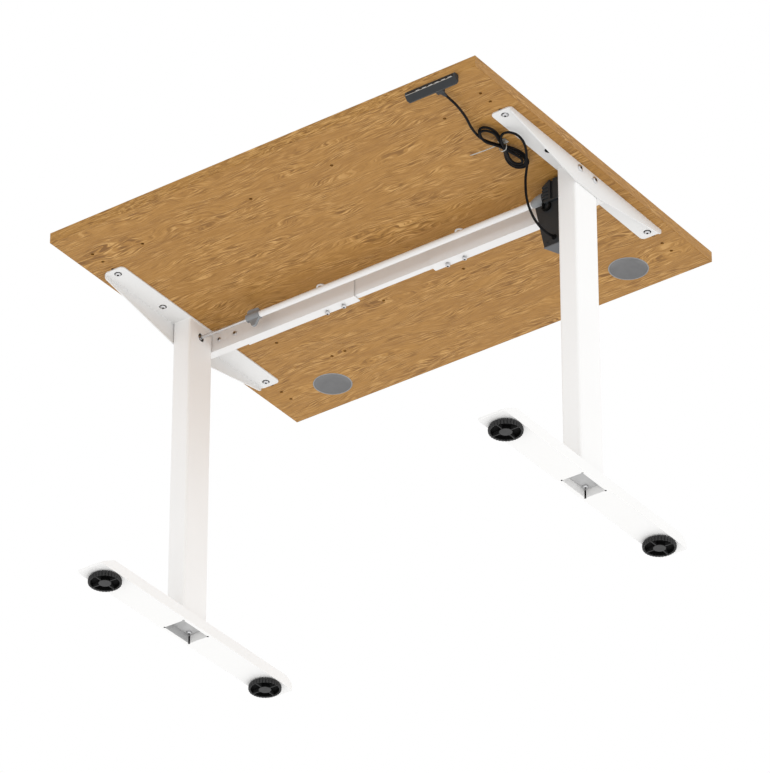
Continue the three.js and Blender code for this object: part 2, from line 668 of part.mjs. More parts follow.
function strainRelief() {
  const profile = [
    [0, 0], [4.6, 0], [4.6, 2.5], [3.7, 3], [4.2, 5], [3.4, 6], [3.8, 8], [3.2, 9], [3.3, RELIEF.length],
    [0, RELIEF.length],
  ];
  const points = profile.map(([radius, along]) => new THREE.Vector2(radius, along));
  return new THREE.LatheGeometry(points, 12).translate(RELIEF.x, RELIEF.start, UNDERSIDE - RELIEF.drop);
}

// Route of the cord from the handset to the hank, and from the hank to the drive unit.
const HANK = { top: UNDERSIDE - 4, bottom: UNDERSIDE - 20 };
const TIE = { y: -168, left: 391, right: 417.6, width: 2.8, sheet: 1.2, tail: 62 };
const UPPER_ROUTE = [
  [RELIEF.x, RELIEF_END + GAP, UNDERSIDE - RELIEF.drop],
  [RELIEF.x, RELIEF_END + 14, UNDERSIDE - RELIEF.drop - 0.5],
  [408.6, -324, UNDERSIDE - 12],
  [405.2, -302, UNDERSIDE - 13],
  [400, -281, UNDERSIDE - 13],
  [393, -262, UNDERSIDE - 12.5],
  [387.5, -244.5, UNDERSIDE - 12],
];
const LOWER_ROUTE = [
  [398.5, -86, HANK.bottom - GAP],
  [398.2, -87, UNDERSIDE - 40],
  [398.2, -87.2, UNDERSIDE - 58],
  [398.3, -86.2, UNDERSIDE - 75],
  [399.8, -80, UNDERSIDE - 98],
  [403, -66, UNDERSIDE - 121],
  [406.3, -48, UNDERSIDE - 133],
  [409.2, -30, UNDERSIDE - 136.5],
  [CORD_SOCKET.x, UNIT.front - 6, CORD_SOCKET.z],
  [CORD_SOCKET.x, UNIT.front + 2.2, CORD_SOCKET.z],
];

function cordAlong(route, steps) {
  const curve = new THREE.CatmullRomCurve3(route.map((point) => new THREE.Vector3(...point)));
  const section = new THREE.Shape();
  for (let i = 0; i < CORD.sides; i += 1) {
    const angle = (i / CORD.sides) * Math.PI * 2;
    const [a, b] = [Math.cos(angle) * CORD.radius, Math.sin(angle) * CORD.radius];
    if (i === 0) section.moveTo(a, b);
    else section.lineTo(a, b);
  }
  section.closePath();
  return new THREE.ExtrudeGeometry(section, { steps, extrudePath: curve });
}

// The outer shape of the tied hank: a lobe on each side of the tie and one wide loop to the right of it.
function cordHank() {
  const curve = (Type, points) => {
    const path = new Type();
    const vectors = points.map(([x, y]) => new THREE.Vector2(x, y));
    path.moveTo(vectors[0].x, vectors[0].y);
    path.splineThru([...vectors.slice(1), vectors[0]]);
    return path;
  };
  const shape = curve(THREE.Shape, [
    [392, -168], [388, -185], [380, -209], [380, -231], [396, -243], [414, -240], [424, -219], [438, -208],
    [449, -189], [445, -155], [432, -125], [420, -99], [404, -83], [386, -83], [376, -101], [379, -125],
  ]);
  shape.holes.push(curve(THREE.Path, [
    [417, -168], [418, -191], [434, -194], [438, -181], [434, -157], [423, -139],
  ]));
  return upright(shape, HANK.bottom, HANK.top, 2);
}

// Tie round the hank's waist, with a base stuck under the desktop, a head on its right and a long free tail.
function cableTie() {
  const { y, left, right, width, sheet, tail } = TIE;
  const span = [y - width / 2, y + width / 2];
  const outer = box([left - sheet, right + sheet], span, [HANK.bottom - GAP - sheet, HANK.top + GAP + sheet]);
  const hole = box([left, right], [y - width, y + width], [HANK.bottom - GAP, HANK.top + GAP]);
  const base = box([left + 3, right - 3], [y - 7, y + 7], [HANK.top + GAP + sheet / 2, UNDERSIDE]);
  const head = box([right + sheet / 2, right + 5], [y - 5, y + width / 2], [HANK.top - 6, HANK.top]);
  const end = box([left - tail, left - sheet / 2], span, [HANK.top - 2, HANK.top - 2 + sheet]);
  return join(cut(outer, hole), base, head, end);
}

add('handset_case', handsetCase(), BLACK_PLASTIC);
add('handset_strain_relief', strainRelief(), BLACK_PLASTIC);
for (let i = 0; i < BUTTON.count; i += 1) add(`handset_button_${i + 1}`, handsetButton(i), BUTTON_GREY);
add('handset_cord_upper', cordAlong(UPPER_ROUTE, 12), CORD_BLACK);
add('handset_cord_hank', cordHank(), CORD_BLACK);
add('handset_cord_lower', cordAlong(LOWER_ROUTE, 18), CORD_BLACK);
add('cable_tie', cableTie(), TIE_NYLON);

// ---------------------------------------------------------------- feet

// Side view of a foot: low toe in front, steeper end behind.
function footProfile() {
  const { front, rear, bottom, top } = FOOT;
  return outline([
    [front + 1, bottom], [rear - 2, bottom], [rear, bottom + 2], [rear, bottom + 11], [rear - 22, top],
    [front + 38, top], [front, bottom + 3.5], [front, bottom + 1],
  ]);
}

function footBody(side) {
  const { front, rear, width, bottom, top, padY } = FOOT;
  const beam = alongX(footProfile(), -width / 2, width / 2);
  const plan = upright(roundedRectangle(width, rear - front, 7), bottom - 1, top + 1, 4)
    .translate(0, (front + rear) / 2, 0);
  const pocket = box([-22.5, 22.5], [-38, 38], [bottom - 1, top - 2]);
  const corners = [[-22.5, -38], [-22.5, 38], [22.5, -38], [22.5, 38]]
    .map((at) => bar('z', 2.2, bottom - 1, top - 6, at, 10));
  const [halfWidth, halfDepth] = [INNER.width / 2 + 0.4, INNER.depth / 2 + 0.4];
  const throat = box([-halfWidth, halfWidth], [-halfDepth, halfDepth], [top - 3, top + 1]);
  const studs = [-padY, padY].map((y) => bar('z', 4.4, bottom - 1, top - 3, [0, y]));
  return cut(common(beam, plan), pocket, throat, ...corners, ...studs).translate(side * COLUMN.x, 0, 0);
}

const GLIDE = { hub: 12, rim: 4, spoke: 1.3, recess: 7 };

// Plastic glide with a moulded-in stud; pockets under it leave a rim, a hub and four spokes.
function levellingFoot(x, y) {
  const { hub, rim, spoke, recess } = GLIDE;
  const disc = bar('z', FOOT.padRadius, 0, FOOT.bottom - GAP, [0, 0], 36);
  const stud = bar('z', 4, 6, FOOT.top - 5, [0, 0]);
  const outer = FOOT.padRadius - rim;
  const pockets = [];
  for (let i = 0; i < 4; i += 1) {
    const [start, end] = [(i * Math.PI) / 2, ((i + 1) * Math.PI) / 2];
    const pocket = new THREE.Shape();
    pocket.absarc(0, 0, outer, start + spoke / outer, end - spoke / outer);
    pocket.absarc(0, 0, hub, end - spoke / hub, start + spoke / hub, true);
    pocket.closePath();
    pockets.push(upright(pocket, -1, recess, 6));
  }
  return cut(join(disc, stud), ...pockets).translate(x, y, 0);
}

for (const [label, side] of Object.entries(SIDES)) {
  add(`foot_${label}`, footBody(side), WHITE_PAINT);
  const bolt = headDownScrew([side * COLUMN.x - 13.5, 26], PLATE.bottom - GAP, 5.4, 4.4, 2.9, 5);
  add(`foot_bolt_${label}`, bolt, STEEL);
  add(`levelling_foot_${label}_front`, levellingFoot(side * COLUMN.x, -FOOT.padY), BLACK_PLASTIC);
  add(`levelling_foot_${label}_rear`, levellingFoot(side * COLUMN.x, FOOT.padY), BLACK_PLASTIC);
}

export default desk;
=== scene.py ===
"""Looks of a height adjustable standing desk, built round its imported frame.

Metres, in the frame's own axes: +X to the right of somebody at the desk, +Y away from them, +Z up.
"""

import math

import bmesh
import bpy
from mathutils import Matrix, Vector


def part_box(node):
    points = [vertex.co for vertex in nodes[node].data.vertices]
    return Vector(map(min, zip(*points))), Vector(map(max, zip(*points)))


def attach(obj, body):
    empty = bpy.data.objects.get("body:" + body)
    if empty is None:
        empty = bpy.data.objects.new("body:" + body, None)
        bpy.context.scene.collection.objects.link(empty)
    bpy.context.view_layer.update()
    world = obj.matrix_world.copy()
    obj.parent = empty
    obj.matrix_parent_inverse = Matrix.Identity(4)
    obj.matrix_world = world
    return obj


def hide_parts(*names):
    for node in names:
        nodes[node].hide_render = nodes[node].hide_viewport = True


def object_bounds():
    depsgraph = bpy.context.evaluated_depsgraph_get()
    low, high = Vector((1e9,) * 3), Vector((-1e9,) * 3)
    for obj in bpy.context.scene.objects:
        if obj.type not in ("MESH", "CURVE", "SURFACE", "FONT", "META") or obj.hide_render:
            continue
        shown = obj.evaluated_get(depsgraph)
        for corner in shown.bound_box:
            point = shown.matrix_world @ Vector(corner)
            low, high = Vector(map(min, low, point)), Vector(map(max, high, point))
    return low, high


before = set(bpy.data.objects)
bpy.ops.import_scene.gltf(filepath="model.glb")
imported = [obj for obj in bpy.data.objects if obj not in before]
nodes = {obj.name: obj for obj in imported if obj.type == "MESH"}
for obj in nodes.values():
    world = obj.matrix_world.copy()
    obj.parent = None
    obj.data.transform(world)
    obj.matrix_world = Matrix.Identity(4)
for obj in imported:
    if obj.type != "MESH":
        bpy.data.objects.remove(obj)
cad_low, cad_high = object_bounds()

MM = 0.001
SIDES = {"left": -1, "right": 1}
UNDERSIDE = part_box("desktop_board")[0].z
COLUMN_X = sum(corner.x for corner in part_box("outer_tube_right")) / 2


def below(x, y, drop):
    """A point in metres from millimetres, with its height given as a drop from the desktop's underside."""
    return Vector((x * MM, y * MM, UNDERSIDE - drop * MM))


# ---------------------------------------------------------------- camera

CAMERA_AZIMUTH = math.radians(35.77)
CAMERA_ELEVATION = math.radians(-32.52)
CAMERA_DISTANCE = 10.739
CAMERA_TARGET = Vector((-0.0762, 0.1194, 0.4869))
CAMERA_LENS = 259.03


def make_camera():
    """Long lens from the front right, well below the desktop."""
    back = Vector((
        math.sin(CAMERA_AZIMUTH) * math.cos(CAMERA_ELEVATION),
        -math.cos(CAMERA_AZIMUTH) * math.cos(CAMERA_ELEVATION),
        math.sin(CAMERA_ELEVATION),
    ))
    data = bpy.data.cameras.new("camera")
    data.sensor_width = 36
    data.lens = CAMERA_LENS
    data.clip_end = 100
    camera = bpy.data.objects.new("camera", data)
    camera.rotation_mode = "QUATERNION"
    camera.location = CAMERA_TARGET + back * CAMERA_DISTANCE
    camera.rotation_quaternion = (-back).to_track_quat("-Z", "Y")
    bpy.context.scene.collection.objects.link(camera)
    bpy.context.scene.camera = camera


make_camera()

# ---------------------------------------------------------------- shader nodes


def new_material(name, color, roughness, metallic=0.0, specular=0.5):
    """A material with its Principled shader; color is linear RGB."""
    made = bpy.data.materials.new(name)
    made.use_nodes = True
    shader = made.node_tree.nodes["Principled BSDF"]
    shader.inputs["Base Color"].default_value = (*color, 1)
    shader.inputs["Roughness"].default_value = roughness
    shader.inputs["Metallic"].default_value = metallic
    shader.inputs["Specular IOR Level"].default_value = specular
    return made, shader


def feed(tree, socket, value):
    """Links a node's output to a socket, or sets the socket to a plain value."""
    if isinstance(value, bpy.types.NodeSocket):
        tree.links.new(value, socket)
    else:
        socket.default_value = value


def add_node(tree, kind, settings=None, **inputs):
    """A new node; inputs are values or output sockets, with _ for a space in a socket's name."""
    node = tree.nodes.new("ShaderNode" + kind)
    for key, value in (settings or {}).items():
        setattr(node, key, value)
    for key, value in inputs.items():
        feed(tree, node.inputs[key.replace("_", " ")], value)
    return node


def noise(tree, scale, detail=3.0, roughness=0.55, distortion=0.0, vector=None):
    """Noise with features 1 / scale metres long on each axis, in object coordinates or along a vector."""
    source = vector or add_node(tree, "TexCoord").outputs["Object"]
    place = add_node(tree, "Mapping", Vector=source, Scale=scale).outputs["Vector"]
    made = add_node(tree, "TexNoise", Vector=place, Scale=1.0, Detail=detail, Roughness=roughness,
                    Distortion=distortion)
    return made.outputs["Fac"]


def remap(tree, value, low, high, to_low=0.0, to_high=1.0):
    """The value mapped from one range to another and kept inside it."""
    made = add_node(tree, "MapRange", {"clamp": True}, Value=value, From_Min=low, From_Max=high,
                    To_Min=to_low, To_Max=to_high)
    return made.outputs["Result"]


def mix_color(tree, share, first, second):
    """First color where share is 0, second where it is 1."""
    made = tree.nodes.new("ShaderNodeMix")
    made.data_type = "RGBA"
    feed(tree, made.inputs[0], share)
    for index, color in ((6, first), (7, second)):
        is_plain = not isinstance(color, bpy.types.NodeSocket)
        feed(tree, made.inputs[index], (*color, 1) if is_plain else color)
    return made.outputs[2]


def calculate(tree, operation, first, second):
    made = tree.nodes.new("ShaderNodeMath")
    made.operation = operation
    feed(tree, made.inputs[0], first)
    feed(tree, made.inputs[1], second)
    return made.outputs["Value"]


def bump(tree, shader, height, strength, distance):
    """Relief from a height; distance is in metres."""
    made = add_node(tree, "Bump", Height=height, Strength=strength, Distance=distance)
    tree.links.new(made.outputs["Normal"], shader.inputs["Normal"])


# ---------------------------------------------------------------- oak

WOOD_DEEP = (0.36, 0.172, 0.034)
WOOD_PALE = (0.43, 0.215, 0.049)
FLECK_DARK = (0.17, 0.07, 0.01)
FLECK_LIGHT = (0.68, 0.4, 0.14)
STREAK_DARK = (0.24, 0.11, 0.022)
STREAK_LIGHT = (0.55, 0.3, 0.09)
PORE_DARK = (0.17, 0.075, 0.015)
GRAIN_SWAY = 0.12                             # how far the grain wanders sideways, in metres


def oak(name, along_edges=False):
    """Oak veneer: patches of crisp flecks, faint streaks and short pores over slow bands of darker wood."""
    made, shader = new_material(name, WOOD_PALE, 0.5, specular=0.3)
    tree = made.node_tree
    coordinates = add_node(tree, "TexCoord")
    place = turned_at_the_ends(tree, coordinates) if along_edges else coordinates.outputs["Object"]
    grain = swaying(tree, place)
    bands = noise(tree, (1.1, 30, 30), 4, 0.6, vector=grain)
    flecks = noise(tree, (34, 560, 560), 2, 0.5, 0.3, vector=grain)
    streaks = noise(tree, (10, 220, 220), 3, 0.65, 0.5, vector=grain)
    pores = noise(tree, (80, 1000, 1000), 2, 0.5, vector=grain)
    patches = remap(tree, noise(tree, (9, 30, 30), 3, 0.6, vector=grain), 0.42, 0.6, 0.3, 1.25)
    dark = calculate(tree, "MULTIPLY", remap(tree, flecks, 0.38, 0.5, 0.62, 0.0), patches)
    light = calculate(tree, "MULTIPLY", remap(tree, flecks, 0.52, 0.64, 0.0, 0.6), patches)
    color = mix_color(tree, remap(tree, bands, 0.3, 0.7), WOOD_DEEP, WOOD_PALE)
    color = mix_color(tree, dark, color, FLECK_DARK)
    color = mix_color(tree, light, color, FLECK_LIGHT)
    color = mix_color(tree, remap(tree, streaks, 0.3, 0.44, 0.32, 0.0), color, STREAK_DARK)
    color = mix_color(tree, remap(tree, streaks, 0.58, 0.7, 0.0, 0.26), color, STREAK_LIGHT)
    color = mix_color(tree, remap(tree, pores, 0.28, 0.42, 0.4, 0.0), color, PORE_DARK)
    tree.links.new(color, shader.inputs["Base Color"])
    tree.links.new(remap(tree, bands, 0.2, 0.8, 0.42, 0.58), shader.inputs["Roughness"])
    bump(tree, shader, calculate(tree, "ADD", flecks, pores), 0.4, 0.0006)
    return made


def swaying(tree, place):
    """The place shifted sideways by slow noise, so that lines along X wander a little."""
    sway = noise(tree, (2.2, 9, 9), 3, 0.6, vector=place)
    shift = add_node(tree, "CombineXYZ", X=0.0, Y=calculate(tree, "MULTIPLY", sway, GRAIN_SWAY), Z=0.0)
    bent = add_node(tree, "VectorMath", {"operation": "ADD"})
    tree.links.new(place, bent.inputs[0])
    tree.links.new(shift.outputs["Vector"], bent.inputs[1])
    return bent.outputs["Vector"]


def turned_at_the_ends(tree, coordinates):
    """Object coordinates, with X and Y swapped on faces that look along X: grain runs along them."""
    split = add_node(tree, "SeparateXYZ", Vector=coordinates.outputs["Object"])
    turned = add_node(tree, "CombineXYZ", X=split.outputs["Y"], Y=split.outputs["X"], Z=split.outputs["Z"])
    facing = add_node(tree, "SeparateXYZ", Vector=coordinates.outputs["Normal"])
    at_end = calculate(tree, "GREATER_THAN", calculate(tree, "ABSOLUTE", facing.outputs["X"], 0.0), 0.5)
    choice = tree.nodes.new("ShaderNodeMix")
    choice.data_type = "VECTOR"
    tree.links.new(at_end, choice.inputs[0])
    tree.links.new(coordinates.outputs["Object"], choice.inputs[4])
    tree.links.new(turned.outputs["Vector"], choice.inputs[5])
    return choice.outputs[1]


# ---------------------------------------------------------------- paint, plastic, metal and nylon


def scaled(color, share):
    return [channel * share for channel in color]


def powder_coat(name, color):
    """White powder coat: fine orange peel and a faint cloudiness."""
    made, shader = new_material(name, color, 0.42, specular=0.4)
    tree = made.node_tree
    cloud = remap(tree, noise(tree, (9, 9, 9), 3), 0.3, 0.7)
    tree.links.new(mix_color(tree, cloud, scaled(color, 0.985), color), shader.inputs["Base Color"])
    uneven = remap(tree, noise(tree, (60, 60, 60), 2), 0.3, 0.7, 0.36, 0.5)
    tree.links.new(uneven, shader.inputs["Roughness"])
    bump(tree, shader, noise(tree, (900, 900, 900), 2), 0.08, 0.0002)
    return made


def moulded(name, color, roughness, grain=1400, strength=0.18, specular=0.45):
    """Spark-eroded moulded plastic: fine leathery grain, slightly uneven gloss."""
    made, shader = new_material(name, color, roughness, specular=specular)
    tree = made.node_tree
    cloud = remap(tree, noise(tree, (30, 30, 30), 3), 0.3, 0.7)
    cloudy = mix_color(tree, cloud, scaled(color, 0.88), scaled(color, 1.08))
    tree.links.new(cloudy, shader.inputs["Base Color"])
    uneven = remap(tree, noise(tree, (80, 80, 80), 2), 0.3, 0.7, roughness - 0.06, roughness + 0.06)
    tree.links.new(uneven, shader.inputs["Roughness"])
    bump(tree, shader, noise(tree, (grain, grain, grain), 2), strength, 0.00012)
    return made


def metal(name, color, roughness, brushed=(60, 900, 900)):
    """Bare or plated metal with drawing marks, along X unless brushed says otherwise."""
    made, shader = new_material(name, color, roughness, metallic=1.0)
    tree = made.node_tree
    marks = noise(tree, brushed, 3, 0.6)
    tree.links.new(mix_color(tree, marks, scaled(color, 0.82), color), shader.inputs["Base Color"])
    uneven = remap(tree, marks, 0.3, 0.7, roughness - 0.08, roughness + 0.1)
    tree.links.new(uneven, shader.inputs["Roughness"])
    bump(tree, shader, marks, 0.1, 0.0001)
    return made


def nylon():
    """Natural nylon, cloudy and a little translucent."""
    made, shader = new_material("natural_nylon", (0.8, 0.8, 0.76), 0.3)
    tree = made.node_tree
    cloud = noise(tree, (120, 120, 120), 3)
    tree.links.new(mix_color(tree, cloud, (0.6, 0.6, 0.55), (0.74, 0.74, 0.7)), shader.inputs["Base Color"])
    shader.inputs["Transmission Weight"].default_value = 0.45
    return made


OAK = oak("oak")
OAK_EDGE = oak("oak_edge", along_edges=True)
COLUMN_WHITE = powder_coat("column_white", (0.92, 0.915, 0.905))
SHEET_WHITE = powder_coat("sheet_white", (0.79, 0.785, 0.775))
BEAM_WHITE = powder_coat("beam_white", (0.83, 0.82, 0.81))
# Painted shade: grey for the foot pocket's -X wall.
POCKET_PAINTED_SHADE = powder_coat("pocket_painted_shade", (0.5, 0.5, 0.5))
BLACK = moulded("black_plastic", (0.026, 0.029, 0.032), 0.5, specular=0.35)
GLIDE_BLACK = moulded("glide_black", (0.02, 0.02, 0.02), 0.55, grain=900, specular=0.35)
# Painted light: a lighter copy of the glide's black for the hub's flat face, lit more than the rest.
HUB_PAINTED_LIGHT_BLACK = moulded("hub_painted_light_black", (0.036, 0.036, 0.036), 0.5, grain=700, strength=0.3, specular=0.4)
# Glossy black plastic with a warm brown tint: painted reflection of the wood above.
GLOSS_BLACK_PAINTED_REFLECTION = moulded("gloss_black_painted_reflection", (0.02, 0.014, 0.01), 0.35, grain=2500, strength=0.03, specular=0.15)
# Near-black: painted shade in screw sockets, glide pockets, the foot pockets' corners and one empty screw
# hole; also the black of the cable clip's hook and the cord bushing.
SHADE_AND_DEEP_BLACK = moulded("shade_and_deep_black", (0.004, 0.004, 0.004), 0.7, specular=0.1)
CORD_BLACK = moulded("cord_black", (0.004, 0.004, 0.0045), 0.55, grain=700, strength=0.06, specular=0.12)
GREY = moulded("grey_plastic", (0.152, 0.152, 0.154), 0.45)
LINER_GREY = moulded("liner_grey", (0.3, 0.3, 0.305), 0.4)
COUPLING_GREY = moulded("coupling_grey", (0.25, 0.26, 0.27), 0.4)
# Painted highlight: light grey for the bright edge at the foot of each key.
KEY_HIGHLIGHT_GREY = moulded("key_highlight_grey", (0.5, 0.49, 0.475), 0.4, strength=0.05)
# Painted highlight: warm pale grey for the light caught by the handset's edge below the keys.
EDGE_HIGHLIGHT_GREY = moulded("edge_highlight_grey", (0.42, 0.39, 0.35), 0.4, strength=0.05)
SHELF_GREY = moulded("shelf_grey", (0.115, 0.12, 0.127), 0.4, grain=800, strength=0.08)
PLATE_GREY = moulded("plate_grey", (0.5, 0.5, 0.5), 0.4, grain=800, strength=0.08)
ZINC = metal("zinc_plate", (0.6, 0.61, 0.62), 0.38)
SCREW_STEEL = metal("screw_steel", (0.7, 0.7, 0.71), 0.3, (400, 400, 400))
BRIGHT_STEEL = metal("bright_steel", (0.72, 0.72, 0.73), 0.25)
BRASS = metal("brass", (0.75, 0.58, 0.27), 0.3)
NYLON = nylon()

# ---------------------------------------------------------------- mesh helpers


def put(obj, material, body):
    """Gives a new piece its material and body."""
    obj.data.materials.append(material)
    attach(obj, body)
    return obj


def from_bmesh(name, bm, smooth_degrees=35):
    """A new object from a mesh, smooth where its faces meet at less than an angle."""
    bmesh.ops.remove_doubles(bm, verts=bm.verts, dist=1e-6)
    bmesh.ops.recalc_face_normals(bm, faces=bm.faces)
    mesh = bpy.data.meshes.new(name)
    bm.to_mesh(mesh)
    bm.free()
    mesh.shade_smooth()
    mesh.set_sharp_from_angle(angle=math.radians(smooth_degrees))
    obj = bpy.data.objects.new(name, mesh)
    bpy.context.scene.collection.objects.link(obj)
    return obj


def circle(bm, radius_at, along, count):
    """A ring of points about Z; radius_at gives the radius at an angle. A zero radius gives one point."""
    if radius_at(0) < 1e-7:
        return [bm.verts.new((0, 0, along))]
    angles = [math.tau * i / count for i in range(count)]
    return [bm.verts.new((radius_at(a) * math.cos(a), radius_at(a) * math.sin(a), along)) for a in angles]


def join_rings(bm, lower, upper):
    """Faces between two rings of points, either of which may be a single point."""
    count = max(len(lower), len(upper))
    faces = []
    for i in range(count):
        j = (i + 1) % count
        corners = [lower[i % len(lower)], lower[j % len(lower)]]
        corners += [upper[j % len(upper)], upper[i % len(upper)]]
        faces.append(bm.faces.new(list(dict.fromkeys(corners))))
    return faces


def turn_profile(bm, profile, segments, centre, axis="z"):
    """Adds a body of revolution; profile is (radius, along) pairs, closed or with its ends on the axis."""
    rings = [circle(bm, lambda angle, r=radius: r, along, segments) for radius, along in profile]
    for lower, upper in zip(rings, rings[1:]):
        join_rings(bm, lower, upper)
    verts = [vert for ring in rings for vert in ring]
    if axis == "y":
        bmesh.ops.rotate(bm, verts=verts, matrix=Matrix.Rotation(-math.pi / 2, 3, "X"))
    bmesh.ops.translate(bm, verts=verts, vec=centre)


def skin(name, sections, closed=False, smooth_degrees=35):
    """A piece stretched over sections of equally many points; open ends are capped."""
    bm = bmesh.new()
    rings = [[bm.verts.new(point) for point in section] for section in sections]
    for ring, ahead in zip(rings, rings[1:]):
        join_rings(bm, ring, ahead)
    if closed:
        join_rings(bm, rings[-1], rings[0])
    else:
        bm.faces.new(rings[0])
        bm.faces.new(list(reversed(rings[-1])))
    return from_bmesh(name, bm, smooth_degrees)


def bevel(obj, width, segments=3):
    """Rounds the edges sharper than 30 degrees."""
    made = obj.modifiers.new("bevel", "BEVEL")
    made.width = width
    made.segments = segments
    made.limit_method = "ANGLE"
    made.angle_limit = math.radians(30)
    made.use_clamp_overlap = True
    weighted = obj.modifiers.new("normals", "WEIGHTED_NORMAL")
    weighted.keep_sharp = False
    return obj


def rounded_block(name, low, high, edge, segments=3):
    """A box between two corners with rounded edges."""
    bm = bmesh.new()
    made = bmesh.ops.create_cube(bm, size=1)["verts"]
    low, high = Vector(low), Vector(high)
    bmesh.ops.scale(bm, verts=made, vec=high - low)
    bmesh.ops.translate(bm, verts=made, vec=(low + high) / 2)
    return bevel(from_bmesh(name, bm), edge, segments)


def dress(node, material, width):
    """Material and softened edges for a CAD node that keeps its own shape."""
    obj = nodes[node]
    obj.data.materials.clear()
    obj.data.materials.append(material)
    if width:
        obj.data.shade_smooth()
        weld = obj.modifiers.new("weld", "WELD")
        weld.merge_threshold = 2e-6
        planar = obj.modifiers.new("planar", "DECIMATE")
        planar.decimate_type = "DISSOLVE"
        planar.angle_limit = math.radians(0.5)
        bevel(obj, width)
    return obj


# ---------------------------------------------------------------- CAD nodes that keep their shape

PLATE_THICKNESS = 5 * MM                      # enough to hold the welded plate, and no more of the tube
POCKET_MARGIN = 4 * MM                        # from the plate's edges to beyond the pocket's walls


def dress_inner_tube(label):
    """White tube with a greyer plate at its lower end."""
    tube = dress("inner_tube_" + label, COLUMN_WHITE, 0.3 * MM)
    tube.data.materials.append(PLATE_GREY)
    plate_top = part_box("inner_tube_" + label)[0].z + PLATE_THICKNESS
    for face in tube.data.polygons:
        face.material_index = 1 if (tube.matrix_world @ face.center).z < plate_top else 0


def dress_foot(label):
    """White foot; in the pocket under its column, the -X wall is painted grey shade and the wall faces at
    the corners are painted black shade.
    """
    foot = dress("foot_" + label, COLUMN_WHITE, 1.6 * MM)
    foot.data.materials.append(POCKET_PAINTED_SHADE)
    foot.data.materials.append(SHADE_AND_DEEP_BLACK)
    plate_low, plate_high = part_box("inner_tube_" + label)
    middle = (plate_low + plate_high) / 2
    half = (plate_high - plate_low) / 2
    for face in foot.data.polygons:
        place = foot.matrix_world @ face.center - middle
        under_plate = abs(place.x) < half.x + POCKET_MARGIN and abs(place.y) < half.y + POCKET_MARGIN
        is_wall = place.z < -half.z - 0.1 * MM and abs(face.normal.z) < 0.5
        if not (under_plate and is_wall):
            continue
        # Painted shade: black on the wall faces at the pocket's corners.
        if abs(place.x) > half.x - POCKET_MARGIN and abs(place.y) > half.y - POCKET_MARGIN:
            face.material_index = 2
        # Painted shade: grey on the pocket's -X wall.
        elif place.x < -half.x + POCKET_MARGIN:
            face.material_index = 1


def dress_top():
    """Board, sheet metal and drive parts that ride with the desktop."""
    dress("desktop_board", OAK, 0)
    dress("edge_band", OAK_EDGE, 0.6 * MM)
    for name in ("drive_tube", "beam_channel_left", "beam_channel_right", "beam_channel_inner"):
        dress(name, BEAM_WHITE, 0.3 * MM)
    dress("drive_rod", BRIGHT_STEEL, 0)
    dress("rod_clamp", COUPLING_GREY, 0.8 * MM)
    dress("output_shaft", COUPLING_GREY, 0.3 * MM)
    dress("motor_housing", BLACK, 0.8 * MM)
    dress("drive_cover", BLACK, 1.5 * MM)
    dress("mounting_plate", SHELF_GREY, 0.3 * MM)
    dress("gear_motor", ZINC, 0.5 * MM)
    dress("power_inlet", BLACK, 0.3 * MM)
    dress("handset_strain_relief", BLACK, 0.2 * MM)


def dress_side(label):
    """Bracket, column, foot and screw drive of one side."""
    dress("end_bracket_" + label, BEAM_WHITE, 0.3 * MM)
    dress("side_bracket_" + label, SHEET_WHITE, 0.5 * MM)
    dress("outer_tube_" + label, COLUMN_WHITE, 0.3 * MM)
    dress_inner_tube(label)
    dress_foot(label)
    dress("guide_sleeve_" + label, BLACK, 0.3 * MM)
    dress("spindle_" + label, BRIGHT_STEEL, 0)
    dress("spindle_nut_" + label, BRASS, 0.5 * MM)
    dress("gearbox_" + label, BLACK, 0.5 * MM)


dress_top()
for label in SIDES:
    dress_side(label)

# ---------------------------------------------------------------- levelling glides

RIBS = 32
RIB_DEPTH = 2.6                               # millimetres
POINTS_PER_RIB = 6
SPOKES = 4
SPOKE_SIZE = Vector((0, 2.2, 7.4)) * MM       # width and height; the length depends on the glide
SPOKE_HEIGHT = 4.6 * MM                       # of its middle over the floor
BAND_MATERIALS = {0: 2, 2: 1, 3: 1, 4: 1}     # hub's face, then the walls and roof of the pocket: a lighter black as painted light on the hub, near-black as painted shade in the pocket


def glide_section(radius, stud_top):
    """Half section from the middle of the hub's face, through a pocket and round the rim to the stud's top.

    Millimetres: each point is its radius, its height and how much of the rim's ribs it takes part in.
    """
    return [
        (0, 0.3, 0), (11.6, 0.3, 0), (12.2, 0.8, 0), (12.4, 8, 0), (radius - 5, 8, 0.35),
        (radius - 4.4, 1.4, 0.35), (radius - 3.4, 0.9, 0), (radius - 2.4, 0, 0), (radius - 1.4, 0, 0.5),
        (radius - 0.6, 0.9, 1), (radius - 0.3, 6, 1), (radius - 0.9, 8.5, 0.5), (radius - 2.2, 10.5, 0),
        (radius - 4, 11.6, 0), (9, 12.2, 0), (4, 12.2, 0), (4, stud_top, 0), (0, stud_top, 0),
    ]


def rib_wave(angle):
    """Millimetres that the rim is cut in by at an angle: 0 on the ribs, most between them."""
    return RIB_DEPTH * (abs(math.cos(RIBS * angle / 2)) - 1)


def ribbed(reach, share):
    """The radius of a ring of the glide, as a function of the angle; reach is in millimetres."""
    return lambda angle: (reach + rib_wave(angle) * share) * MM


def add_spoke(bm, angle, start, end):
    """Adds a thin upright wall between two radii."""
    made = bmesh.ops.create_cube(bm, size=1)["verts"]
    bmesh.ops.scale(bm, verts=made, vec=SPOKE_SIZE + Vector((end - start, 0, 0)))
    bmesh.ops.translate(bm, verts=made, vec=((start + end) / 2, 0, SPOKE_HEIGHT))
    bmesh.ops.rotate(bm, verts=made, matrix=Matrix.Rotation(angle, 3, "Z"))


